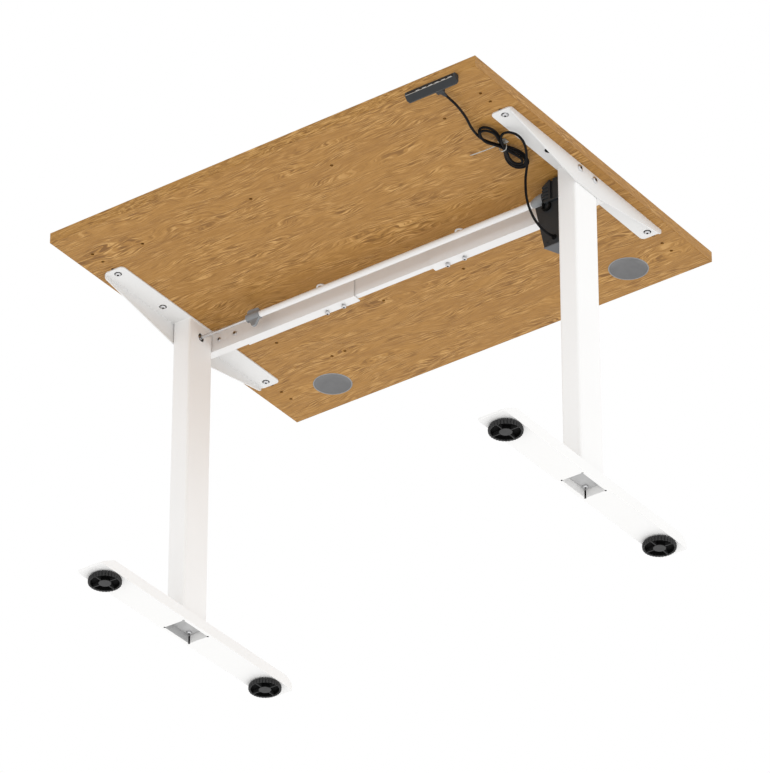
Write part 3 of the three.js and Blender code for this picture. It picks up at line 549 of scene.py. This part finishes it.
def glide(name):
    """Moulded glide: ribbed edge, four pockets between thin spokes round a flat hub, and its stud."""
    low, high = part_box(name)
    radius = (high.x - low.x) / 2
    bm = bmesh.new()
    rings = []
    for reach, height, share in glide_section(radius / MM, high.z / MM):
        rings.append(circle(bm, ribbed(reach, share), height * MM, RIBS * POINTS_PER_RIB))
    for band, (lower, upper) in enumerate(zip(rings, rings[1:])):
        for face in join_rings(bm, lower, upper):
            face.material_index = BAND_MATERIALS.get(band, 0)
    for i in range(SPOKES):
        add_spoke(bm, i * math.tau / SPOKES, 11 * MM, radius - 4 * MM)
    bmesh.ops.translate(bm, verts=bm.verts, vec=((low.x + high.x) / 2, (low.y + high.y) / 2, 0))
    made = from_bmesh("fine_" + name, bm)
    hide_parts(name)
    put(made, GLIDE_BLACK, name)
    # Painted shade: near-black on the pockets' walls and roof.
    made.data.materials.append(SHADE_AND_DEEP_BLACK)
    # Painted light: the lighter black on the hub's face.
    made.data.materials.append(HUB_PAINTED_LIGHT_BLACK)


for label in SIDES:
    for place in ("front", "rear"):
        glide(f"levelling_foot_{label}_{place}")

# ---------------------------------------------------------------- screws

HEAD_POINTS = 36
DOME_STEPS = 6
SOCKET_RADIUS = 0.42                          # as a share of the head's radius
SOCKET_DEPTH = 0.75                           # as a share of the head's height
WASHER = 0.8 * MM

# Radius and height of each head, radius and length of its shank, and radius of its washer.
DESK_SCREW = {"head": (5.6 * MM, 3.2 * MM), "shank": (2.3 * MM, 15 * MM), "washer": 7.4 * MM}
COLUMN_SCREW = {"head": (7 * MM, 2.8 * MM), "shank": (3.4 * MM, 3 * MM)}
BEAM_SCREW = {"head": (4.8 * MM, 3.4 * MM), "shank": (2.9 * MM, 9 * MM)}
END_SCREW = {"head": (4.8 * MM, 2.2 * MM), "shank": (3.5 * MM, 4 * MM)}
FOOT_BOLT = {"head": (5.3 * MM, 4 * MM), "shank": (2.8 * MM, 5 * MM)}
COVER_SCREW = {"head": (2.6 * MM, 1.3 * MM), "shank": (1.3 * MM, 2 * MM)}

# Places of the screws that are no nodes of their own, in millimetres.
COLUMN_SCREW_Y = 25
COLUMN_SCREW_DROP = 12
BEAM_SCREW_X = (123.5, 163)
BEAM_SCREW_Y = 48.6
END_SCREW_X = (381, 420)
END_SCREW_DROP = 23
FOOT_BOLT_X = 13.5
FOOT_BOLT_Y = 26


def screw_profile(size):
    """Half section from the socket's mouth over the domed head and its washer to the end of the shank."""
    radius, height = size["head"]
    shank, length = size["shank"]
    socket = radius * SOCKET_RADIUS
    mouth = socket + 0.1 * MM
    profile = [(socket, height)]
    for i in range(DOME_STEPS + 1):
        turn = i / DOME_STEPS * math.pi / 2
        reach = mouth + (radius - mouth) * math.sin(turn) ** 0.9
        profile.append((reach, height * (0.25 + 0.75 * math.cos(turn))))
    profile.append((radius, 0.0))
    base = 0.0
    if "washer" in size:
        base = -WASHER
        profile += [(size["washer"], 0.0), (size["washer"], base)]
    return profile + [(shank, base), (shank, base - length), (0, base - length)]


def hexagon(angle, corner):
    """Distance from the middle of a hexagon to its side, at an angle."""
    step = math.tau / 6
    return corner * math.cos(step / 2) / math.cos(angle % step - step / 2)


def add_socket(bm, radius, top, depth):
    """Blind hexagon socket with the screw's second material, near-black painted shade inside the recess."""
    rings = [
        circle(bm, lambda angle: 0, top - depth, HEAD_POINTS),
        circle(bm, lambda angle: hexagon(angle, radius), top - depth, HEAD_POINTS),
        circle(bm, lambda angle: radius, top, HEAD_POINTS),
    ]
    for lower, upper in zip(rings, rings[1:]):
        for face in join_rings(bm, lower, upper):
            face.material_index = 1


def button_head(name, size, centre, direction, body, replaced=None, material=SCREW_STEEL):
    """Domed screw with a hexagon socket; direction points out of its head."""
    radius, height = size["head"]
    bm = bmesh.new()
    turn_profile(bm, screw_profile(size), HEAD_POINTS, (0, 0, 0))
    add_socket(bm, radius * SOCKET_RADIUS, height, height * SOCKET_DEPTH)
    turn = Vector(direction).to_track_quat("Z", "Y").to_matrix()
    bmesh.ops.rotate(bm, verts=bm.verts, matrix=turn)
    bmesh.ops.translate(bm, verts=bm.verts, vec=centre)
    screw = from_bmesh(name, bm)
    put(screw, material, body)
    # The second material paints the shade inside the socket.
    screw.data.materials.append(SHADE_AND_DEEP_BLACK)
    if replaced:
        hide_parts(replaced)


def desk_screws():
    """Screws that hold the side brackets' flanges to the desktop; the right middle head is all black,
    painted shade standing for an empty hole.
    """
    flange = 2.5
    for label in SIDES:
        for place in ("front", "middle", "rear"):
            node = f"bracket_screw_{label}_{place}"
            middle = sum(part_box(node), Vector()) / 2
            centre = below(middle.x / MM, middle.y / MM, flange)
            # Painted shade: the right middle head is made all black to stand for the dark of an empty hole.
            is_painted_empty_hole = (label, place) == ("right", "middle")
            button_head("fine_" + node, DESK_SCREW, centre, (0, 0, -1), "top", node,
                        SHADE_AND_DEEP_BLACK if is_painted_empty_hole else SCREW_STEEL)


def column_screws():
    """Screws through the outer web of each side bracket into the column."""
    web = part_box("side_bracket_right")[1].x / MM + 0.1
    for label, side in SIDES.items():
        for place, y in (("front", -COLUMN_SCREW_Y), ("rear", COLUMN_SCREW_Y)):
            centre = below(side * web, y, COLUMN_SCREW_DROP)
            button_head(f"column_screw_{label}_{place}", COLUMN_SCREW, centre, (side, 0, 0), "top")


def beam_screws():
    """Screws that lock the telescopic beam, hanging under its lower flange."""
    stand_off = 3.2
    drop = (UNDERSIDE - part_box("beam_channel_right")[0].z) / MM + stand_off
    for label, side in SIDES.items():
        for i, x in enumerate(BEAM_SCREW_X):
            centre = below(side * x, BEAM_SCREW_Y, drop)
            button_head(f"beam_screw_{label}_{i + 1}", BEAM_SCREW, centre, (0, 0, -1), "top")


def end_screws():
    """Screws through the front of each end bracket."""
    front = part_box("end_bracket_right")[0].y / MM - 0.1
    for label, side in SIDES.items():
        for i, x in enumerate(END_SCREW_X):
            centre = below(side * x, front, END_SCREW_DROP)
            button_head(f"end_screw_{label}_{i + 1}", END_SCREW, centre, (0, -1, 0), "top")


def foot_bolts():
    """Four bolts up through each foot's plate; one of each four stands for them all in the frame."""
    corners = [(x, y) for x in (-FOOT_BOLT_X, FOOT_BOLT_X) for y in (FOOT_BOLT_Y, -FOOT_BOLT_Y)]
    for label, side in SIDES.items():
        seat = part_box("inner_tube_" + label)[0].z - 0.3 * MM
        for i, (x, y) in enumerate(corners):
            centre = (side * COLUMN_X + x * MM, y * MM, seat)
            stood_for = "foot_bolt_" + label if i == 0 else None
            button_head(f"fine_foot_bolt_{label}_{i + 1}", FOOT_BOLT, centre, (0, 0, -1), "base", stood_for)


desk_screws()
column_screws()
beam_screws()
end_screws()
foot_bolts()

# ---------------------------------------------------------------- grommets

LINER_WALL = 2.2 * MM
CAP_GAP = 2.5 * MM                            # from the liner's outside to the cap's edge
CAP_DISH = 9 * MM
TURNED_POINTS = 96


def grommet_liner(node):
    """Light ring, flush with the underside."""
    low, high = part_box(node)
    middle = (low + high) / 2
    outside = (high.x - low.x) / 2
    inside = outside - LINER_WALL
    section = [
        (inside, low.z + 0.3 * MM), (inside + 0.3 * MM, low.z), (outside - 0.6 * MM, low.z),
        (outside, low.z + 0.5 * MM), (outside, high.z - 0.4 * MM), (outside - 0.4 * MM, high.z),
        (inside + 0.2 * MM, high.z), (inside, high.z - 0.2 * MM), (inside, low.z + 0.3 * MM),
    ]
    bm = bmesh.new()
    turn_profile(bm, section, TURNED_POINTS, (middle.x, middle.y, 0))
    liner = from_bmesh("fine_" + node, bm)
    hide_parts(node)
    put(liner, LINER_GREY, "top")


def grommet_cap(node, liner_node):
    """Cap that fills the liner, dished from below."""
    low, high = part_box(liner_node)
    middle = (low + high) / 2
    edge = (high.x - low.x) / 2 - CAP_GAP
    rim = UNDERSIDE - 0.3 * MM
    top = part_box(node)[1].z
    steps = 24
    section = []
    for i in range(steps + 1):
        section.append(((edge - 0.5 * MM) * i / steps, rim + CAP_DISH * math.cos(i / steps * math.pi / 2)))
    section += [
        (edge - 0.15 * MM, rim + 0.05 * MM), (edge, rim + 0.3 * MM), (edge, top - 0.5 * MM),
        (edge - 0.5 * MM, top), (0, top),
    ]
    bm = bmesh.new()
    turn_profile(bm, section, TURNED_POINTS, (middle.x, middle.y, 0))
    cap = from_bmesh("fine_" + node, bm)
    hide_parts(node)
    put(cap, GREY, node)


for label in SIDES:
    grommet_liner("grommet_liner_" + label)
    grommet_cap("grommet_cap_" + label, "grommet_liner_" + label)

# ---------------------------------------------------------------- handset

case_low, case_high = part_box("handset_case")
CASE_LEFT = case_low.x
CASE_RIGHT = case_high.x
CASE_FRONT = case_low.y
CASE_REAR = CASE_FRONT + 11.8 * MM
CASE_DEPTH = case_high.z - case_low.z
CASE_CORNER = 9 * MM                          # radius of the two lower corners, seen from the front
CASE_STATIONS = (0, 0.3, 0.8, 1.6, 2.6, 3.8, 5.2, 6.8, 9)     # millimetres in from each end


def case_outline():
    """Side view as (y, z): an upright band for the keys, and below it a face that leans back."""
    front, rear, bottom = CASE_FRONT, CASE_REAR, -CASE_DEPTH
    return [
        (front + 0.6 * MM, 0), (front, -0.6 * MM), (front, -7.3 * MM), (front + 0.25 * MM, -8.1 * MM),
        (front + 5.1 * MM, -19.4 * MM), (front + 5.7 * MM, -20.5 * MM), (front + 6.6 * MM, bottom),
        (rear - 2.4 * MM, bottom + 0.8 * MM), (rear - 0.7 * MM, bottom + 1.6 * MM),
        (rear, bottom + 3.2 * MM), (rear, 0),
    ]


def case_limit(inset):
    """How far down the case reaches at a distance in from either end."""
    run = CASE_CORNER - min(inset, CASE_CORNER)
    straight = CASE_DEPTH - CASE_CORNER
    return straight + max(math.sqrt(max(CASE_CORNER ** 2 - run ** 2, 0)), 0.5 * MM)


def handset_case():
    """Thin case with rounded lower corners."""
    insets = [station * MM for station in CASE_STATIONS]
    places = [(CASE_LEFT + inset, inset) for inset in insets]
    places += [(CASE_RIGHT - inset, inset) for inset in reversed(insets)]
    sections = []
    for x, inset in places:
        limit = case_limit(inset)
        sections.append([(x, y, UNDERSIDE + max(z, -limit)) for y, z in case_outline()])
    case = skin("fine_handset_case", sections, smooth_degrees=25)
    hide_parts("handset_case")
    put(case, BLACK, "top")


def handset_details():
    """Boss behind the case where the cord leaves, glossy band round the keys with a brown painted
    reflection, and below them a pale strip painted as the highlight on the edge.
    """
    middle = sum(corner.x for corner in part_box("handset_strain_relief")) / 2
    boss = rounded_block("handset_boss", (middle - 8 * MM, CASE_REAR - 2 * MM, UNDERSIDE - 16.1 * MM),
                         (middle + 8 * MM, case_high.y, UNDERSIDE - 1 * MM), 1.2 * MM)
    put(boss, BLACK, "top")
    band = rounded_block("handset_band", (CASE_LEFT + 4 * MM, CASE_FRONT - 0.25 * MM, UNDERSIDE - 6.9 * MM),
                         (CASE_RIGHT - 4 * MM, CASE_FRONT + 0.5 * MM, UNDERSIDE - 0.3 * MM), 0.15 * MM, 1)
    put(band, GLOSS_BLACK_PAINTED_REFLECTION, "top")
    # Painted highlight: a pale strip standing for the light caught by the edge below the keys.
    highlight_strip = rounded_block("handset_edge_highlight", (CASE_LEFT + 1 * MM, CASE_FRONT - 0.5 * MM, UNDERSIDE - 8 * MM),
                         (CASE_RIGHT - 6 * MM, CASE_FRONT + 0.6 * MM, UNDERSIDE - 7.1 * MM), 0.2 * MM, 2)
    put(highlight_strip, EDGE_HIGHLIGHT_GREY, "top")


def handset_keys():
    """Six keys in the front band: a glossy black face with a light strip along its lower edge, painted as
    the highlight there.
    """
    highlight_top = UNDERSIDE - 6.3 * MM
    for index in range(1, 7):
        node = f"handset_button_{index}"
        low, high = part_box(node)
        # Painted highlight: the light strip at the foot of each key.
        lower = rounded_block(f"key_highlight_{index}", (low.x + 0.3 * MM, low.y, low.z),
                              (high.x - 0.3 * MM, high.y, highlight_top), 0.3 * MM, 2)
        put(lower, KEY_HIGHLIGHT_GREY, node)
        key = rounded_block("fine_" + node, (low.x, low.y + 0.1 * MM, highlight_top), high, 0.4 * MM, 2)
        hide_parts(node)
        put(key, GLOSS_BLACK_PAINTED_REFLECTION, node)


handset_case()
handset_details()
handset_keys()

# ---------------------------------------------------------------- cable tie

STRAP_MIDDLE = (403.2, -168.5, 12.8)          # x, y and drop of the hank's waist, in millimetres
STRAP_REACH = (7.6, 8.6)                      # half width and half height inside the strap
STRAP_LEAN = 2.2
STRAP_HALF_WIDTH = 0.9
STRAP_SHEET = 0.7
STRAP_STEPS = 48
TAIL_START = (409, -169.4, 3.6)
TAIL_LENGTH = 79
TAIL_BEND = 1.6                               # sideways at its end
TAIL_SAG = 1.6
TAIL_FALL = 0.8
TAIL_TIP = 0.93                               # share of its length where the tip starts to taper
TAIL_STEPS = 24
TAIL_HALF_WIDTH = 1.1
TAIL_SHEET = 0.8


def squared(wave):
    """A sine or cosine pushed outward, which turns an ellipse into a rounded rectangle."""
    return math.copysign(abs(wave) ** 0.7, wave)


def tie_strap():
    """Closed loop of strap round the hank's waist."""
    middle_x, middle_y, middle_drop = STRAP_MIDDLE
    reach_x, reach_z = STRAP_REACH
    edges = ((0, -STRAP_HALF_WIDTH), (0, STRAP_HALF_WIDTH), (STRAP_SHEET, STRAP_HALF_WIDTH),
             (STRAP_SHEET, -STRAP_HALF_WIDTH))
    sections = []
    for i in range(STRAP_STEPS):
        across = math.cos(math.tau * i / STRAP_STEPS)
        down = math.sin(math.tau * i / STRAP_STEPS)
        section = []
        for extra, shift in edges:
            x = middle_x + (reach_x + extra) * squared(across)
            drop = middle_drop + (reach_z + extra) * squared(down)
            section.append(below(x, middle_y + shift + STRAP_LEAN * down, drop))
        sections.append(section)
    strap = skin("tie_strap", sections, closed=True, smooth_degrees=50)
    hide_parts("cable_tie")
    put(strap, NYLON, "top")


def tie_head_and_pad():
    """Ratchet head on the right of the strap, and the pad under the desktop that the strap hangs from."""
    head = rounded_block("tie_head", below(408.2, -173.5, 7.6), below(413.6, -167, 3), 0.9 * MM)
    put(head, NYLON, "top")
    pad = rounded_block("tie_pad", below(395, -175, 2.2), below(412, -161, 0), 0.7 * MM)
    put(pad, NYLON, "top")


def tie_tail():
    """Free end of the strap, sagging a little towards the left, with a tapered tip."""
    corners = ((-TAIL_HALF_WIDTH, 0), (TAIL_HALF_WIDTH, 0), (TAIL_HALF_WIDTH, TAIL_SHEET),
               (-TAIL_HALF_WIDTH, TAIL_SHEET))
    start_x, start_y, start_drop = TAIL_START
    sections = []
    for i in range(TAIL_STEPS + 1):
        t = i / TAIL_STEPS
        x = start_x - TAIL_LENGTH * t
        y = start_y - TAIL_BEND * t * t
        drop = start_drop + TAIL_SAG * math.sin(math.pi * t) + TAIL_FALL * t
        narrow = min(1, 1 - (t - TAIL_TIP) * 8)
        sections.append([below(x, y + shift * narrow, drop + lift) for shift, lift in corners])
    put(skin("tie_tail", sections), NYLON, "top")


tie_strap()
tie_head_and_pad()
tie_tail()

# ---------------------------------------------------------------- drive unit details

# Hooks as (x, drop) in millimetres, seen from the front.
CLIP_HOOK = [
    (389, 44), (389, 58), (387.5, 62), (389.5, 66), (395, 68), (401, 66.5), (403.5, 62), (403.5, 54),
]
CLIP_BRIDGE = [(391, 50), (397, 52), (401, 50)]
COVER_SCREWS = ((395, 141), (425, 141), (425, 58))
CORD_SOCKET = (410.5, -12, 134)               # x, y and drop of the hole where the cord goes in


def swept_bar(name, path, half, depth_range):
    """A flat hook in an X-Z plane: a bar of a given half thickness along a path of (x, drop)."""
    front, rear = depth_range
    sections = []
    for i, (x, drop) in enumerate(path):
        ahead = Vector(path[min(i + 1, len(path) - 1)])
        behind = Vector(path[max(i - 1, 0)])
        run = (ahead - behind).normalized()
        across = Vector((-run.y, run.x)) * half
        corners = ((-1, front), (1, front), (1, rear), (-1, rear))
        sections.append([below(x + across.x * sign, y, drop + across.y * sign) for sign, y in corners])
    return bevel(skin(name, sections), 0.5 * MM, 2)


def cable_clip():
    """Clip on the cover's top edge."""
    put(swept_bar("cable_clip", CLIP_HOOK, 1.7, (-17, -11)), SHADE_AND_DEEP_BLACK, "top")
    put(swept_bar("cable_clip_bridge", CLIP_BRIDGE, 1.5, (-15, -10)), BLACK, "top")


def cord_bushing():
    """Bushing where the cord goes in."""
    section = [
        (2.55, -4.5), (3.6, -4.2), (4.3, -1.2), (5.4, -0.9), (5.6, 0), (5.6, 0.8), (2.55, 0.8),
        (2.55, -4.5),
    ]
    bm = bmesh.new()
    turn_profile(bm, [(radius * MM, along * MM) for radius, along in section], HEAD_POINTS,
                 below(*CORD_SOCKET), "y")
    put(from_bmesh("cord_bushing", bm), SHADE_AND_DEEP_BLACK, "top")


def cover_screws():
    """The cover's fixing screws."""
    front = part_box("drive_cover")[0].y / MM - 0.1
    for i, (x, drop) in enumerate(COVER_SCREWS):
        button_head(f"cover_screw_{i + 1}", COVER_SCREW, below(x, front, drop), (0, -1, 0), "top",
                    material=BLACK)


cable_clip()
cord_bushing()
cover_screws()

# ---------------------------------------------------------------- handset cord

CORD_DIAMETER = 0.005

# The cord's route as x, y and drop below the desktop, in millimetres.
FROM_HANDSET = [
    (410.5, -363.4, 11.5), (410.5, -349.7, 12), (408.6, -324, 12), (405.2, -302, 13), (400, -281, 13),
    (393, -262, 12.5), (387.5, -244.5, 11),
]
# Each turn of the hank: to the tie, on round the rear lobe, back to the tie, and round the front lobe.
TURNS = [
    {
        "drop": 8,
        "to_tie": [(383, -229), (380.8, -212), (384.1, -198), (389.9, -184), (396, -173)],
        "rear": [(407.5, -156), (414, -141), (417.4, -127), (415.6, -111), (411, -96), (403, -86),
                 (392.5, -83.5), (382.3, -88.5), (377.4, -102), (379, -119), (384.5, -133), (392.5, -147)],
        "front": [(408.3, -182), (413.6, -198), (416, -212), (414.3, -224), (409, -233.5), (401.5, -237),
                  (393.5, -232.5), (387.5, -224)],
    },
    {
        "drop": 12.5,
        "to_tie": [(384.8, -212), (387.6, -199), (393.5, -186), (399.5, -174)],
        "rear": [(408.8, -151), (413.5, -138), (415.4, -124), (412.5, -107), (404, -96), (393.4, -95),
                 (385.8, -103.5), (385.6, -118), (389.5, -133), (396, -147)],
        "front": [(407, -183), (412, -198), (414.2, -211), (412, -222), (406.5, -231), (399.5, -233.5),
                  (392.5, -229.5), (388.6, -221)],
    },
    {
        "drop": 17,
        "to_tie": [(387.6, -211), (390.6, -199), (396.4, -187.5), (402, -177)],
        "rear": [(408.5, -146), (411.5, -134), (412.2, -121), (408.4, -109.5), (401, -106.5), (394, -113),
                 (392.6, -125.5), (395.6, -138.5), (401, -151)],
        "front": [],
    },
]
WIDE_LOOP = [
    (404.5, -162, 17.5), (407.4, -171.4, 17.5), (412.6, -186.8, 17), (419.6, -199.2, 15.5),
    (429, -205.8, 14), (436.6, -204.1, 13.5), (442.6, -196.9, 13), (447, -184.9, 13),
    (445.9, -168.6, 13), (442.3, -153.9, 14), (434.2, -136.6, 16), (423.3, -119.2, 18),
    (415, -106, 20), (408, -96.5, 22.5), (402, -90, 27), (398.8, -87.5, 33),
]
TO_DRIVE = [
    (398.2, -87, 42), (398.2, -87.2, 58), (398.3, -86.2, 75), (399.8, -80, 98), (403, -66, 121),
    (406.3, -48, 133), (409.2, -30, 136.5), (410.5, -18, 134), (410.5, -9.8, 134),
]


def hank_turns():
    """The turns in order, each at its own drop."""
    made = []
    for turn in TURNS:
        flat = turn["to_tie"] + turn["rear"] + turn["front"]
        made += [(x, y, turn["drop"]) for x, y in flat]
    return made


def blend(first, second, start, end, time):
    """The point on the line that is at first at the start time and at second at the end time."""
    return first * ((end - time) / (end - start)) + second * ((time - start) / (end - start))


def smooth_span(a, b, c, d, steps):
    """Points from b towards c on the centripetal Catmull-Rom curve through four points."""
    times = [0.0]
    for p, q in ((a, b), (b, c), (c, d)):
        times.append(times[-1] + max((q - p).length, 1e-9) ** 0.5)
    t0, t1, t2, t3 = times
    made = []
    for i in range(steps):
        t = t1 + (t2 - t1) * i / steps
        ab = blend(a, b, t0, t1, t)
        bc = blend(b, c, t1, t2, t)
        cd = blend(c, d, t2, t3, t)
        made.append(blend(blend(ab, bc, t0, t2, t), blend(bc, cd, t1, t3, t), t1, t2, t))
    return made


def smooth_line(points, spacing):
    """Points a given spacing apart on a smooth curve through the given points."""
    padded = [points[0] * 2 - points[1], *points, points[-1] * 2 - points[-2]]
    dense = []
    for four in zip(padded, padded[1:], padded[2:], padded[3:]):
        dense += smooth_span(*four, steps=12)
    dense.append(points[-1])
    even = [dense[0]]
    for point in dense[1:]:
        if (point - even[-1]).length >= spacing:
            even.append(point)
    even[-1] = dense[-1]
    return even


def relaxed(points, passes):
    """The same line with its small kinks eased out; its ends stay."""
    for _ in range(passes):
        eased = [(a + b * 2 + c) / 4 for a, b, c in zip(points, points[1:], points[2:])]
        points = [points[0], *eased, points[-1]]
    return points


def handset_cord():
    """Round cord along its whole route, hank included."""
    route = [below(*point) for point in FROM_HANDSET + hank_turns() + WIDE_LOOP + TO_DRIVE]
    line = relaxed(smooth_line(route, 2 * MM), 12)
    data = bpy.data.curves.new("handset_cord", "CURVE")
    data.dimensions = "3D"
    data.bevel_depth = CORD_DIAMETER / 2
    data.bevel_resolution = 5
    data.use_fill_caps = True
    spline = data.splines.new("POLY")
    spline.points.add(len(line) - 1)
    for place, point in zip(spline.points, line):
        place.co = (*point, 1)
    spline.use_smooth = True
    cord = bpy.data.objects.new("handset_cord", data)
    bpy.context.scene.collection.objects.link(cord)
    put(cord, CORD_BLACK, "top")
    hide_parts("handset_cord_upper", "handset_cord_hank", "handset_cord_lower")


handset_cord()

# ---------------------------------------------------------------- floor, light and sky

FLOOR_SIZE = 14
SKY_TILT = (("X", 0.11), ("Y", -0.01), ("Z", -0.11))          # how much brighter the sky is along each axis


def stage_floor():
    """A pale floor that shows from above only and lets the light from below through."""
    bpy.ops.mesh.primitive_plane_add(size=FLOOR_SIZE, location=(0, 0, cad_low.z - 0.0005))
    floor = bpy.context.object
    floor.name = "floor"
    made, shader = new_material("floor", (0.86, 0.86, 0.86), 0.8)
    tree = made.node_tree
    clear = add_node(tree, "BsdfTransparent")
    side = add_node(tree, "NewGeometry")
    mixed = tree.nodes.new("ShaderNodeMixShader")
    tree.links.new(side.outputs["Backfacing"], mixed.inputs[0])
    tree.links.new(shader.outputs[0], mixed.inputs[1])
    tree.links.new(clear.outputs[0], mixed.inputs[2])
    tree.links.new(mixed.outputs[0], tree.nodes["Material Output"].inputs["Surface"])
    floor.data.materials.append(made)
    floor.visible_diffuse = False
    floor.visible_glossy = False
    floor.visible_transmission = False
    floor.visible_shadow = False


def sky():
    """White surroundings, a little brighter from the right and from below."""
    world = bpy.data.worlds.new("studio")
    bpy.context.scene.world = world
    world.use_nodes = True
    tree = world.node_tree
    backdrop = tree.nodes["Background"]
    direction = add_node(tree, "SeparateXYZ", Vector=add_node(tree, "TexCoord").outputs["Generated"])
    level = 1.0
    for axis, share in SKY_TILT:
        level = calculate(tree, "ADD", level, calculate(tree, "MULTIPLY", direction.outputs[axis], share))
    path = add_node(tree, "LightPath")
    seen = tree.nodes.new("ShaderNodeMix")
    tree.links.new(path.outputs["Is Camera Ray"], seen.inputs[0])
    tree.links.new(level, seen.inputs[2])
    seen.inputs[3].default_value = 1.0
    tree.links.new(seen.outputs[0], backdrop.inputs["Strength"])
    backdrop.inputs["Color"].default_value = (1, 1, 1, 1)


def soft_box():
    """A large soft light overhead."""
    data = bpy.data.lights.new("soft_box", "AREA")
    data.shape = "DISK"
    data.size = 2.5
    data.energy = 20
    lamp = bpy.data.objects.new("soft_box", data)
    lamp.location = (0, 0.6, 3.4)
    bpy.context.scene.collection.objects.link(lamp)


stage_floor()
sky()
soft_box()
bpy.context.scene.view_settings.view_transform = "Standard"
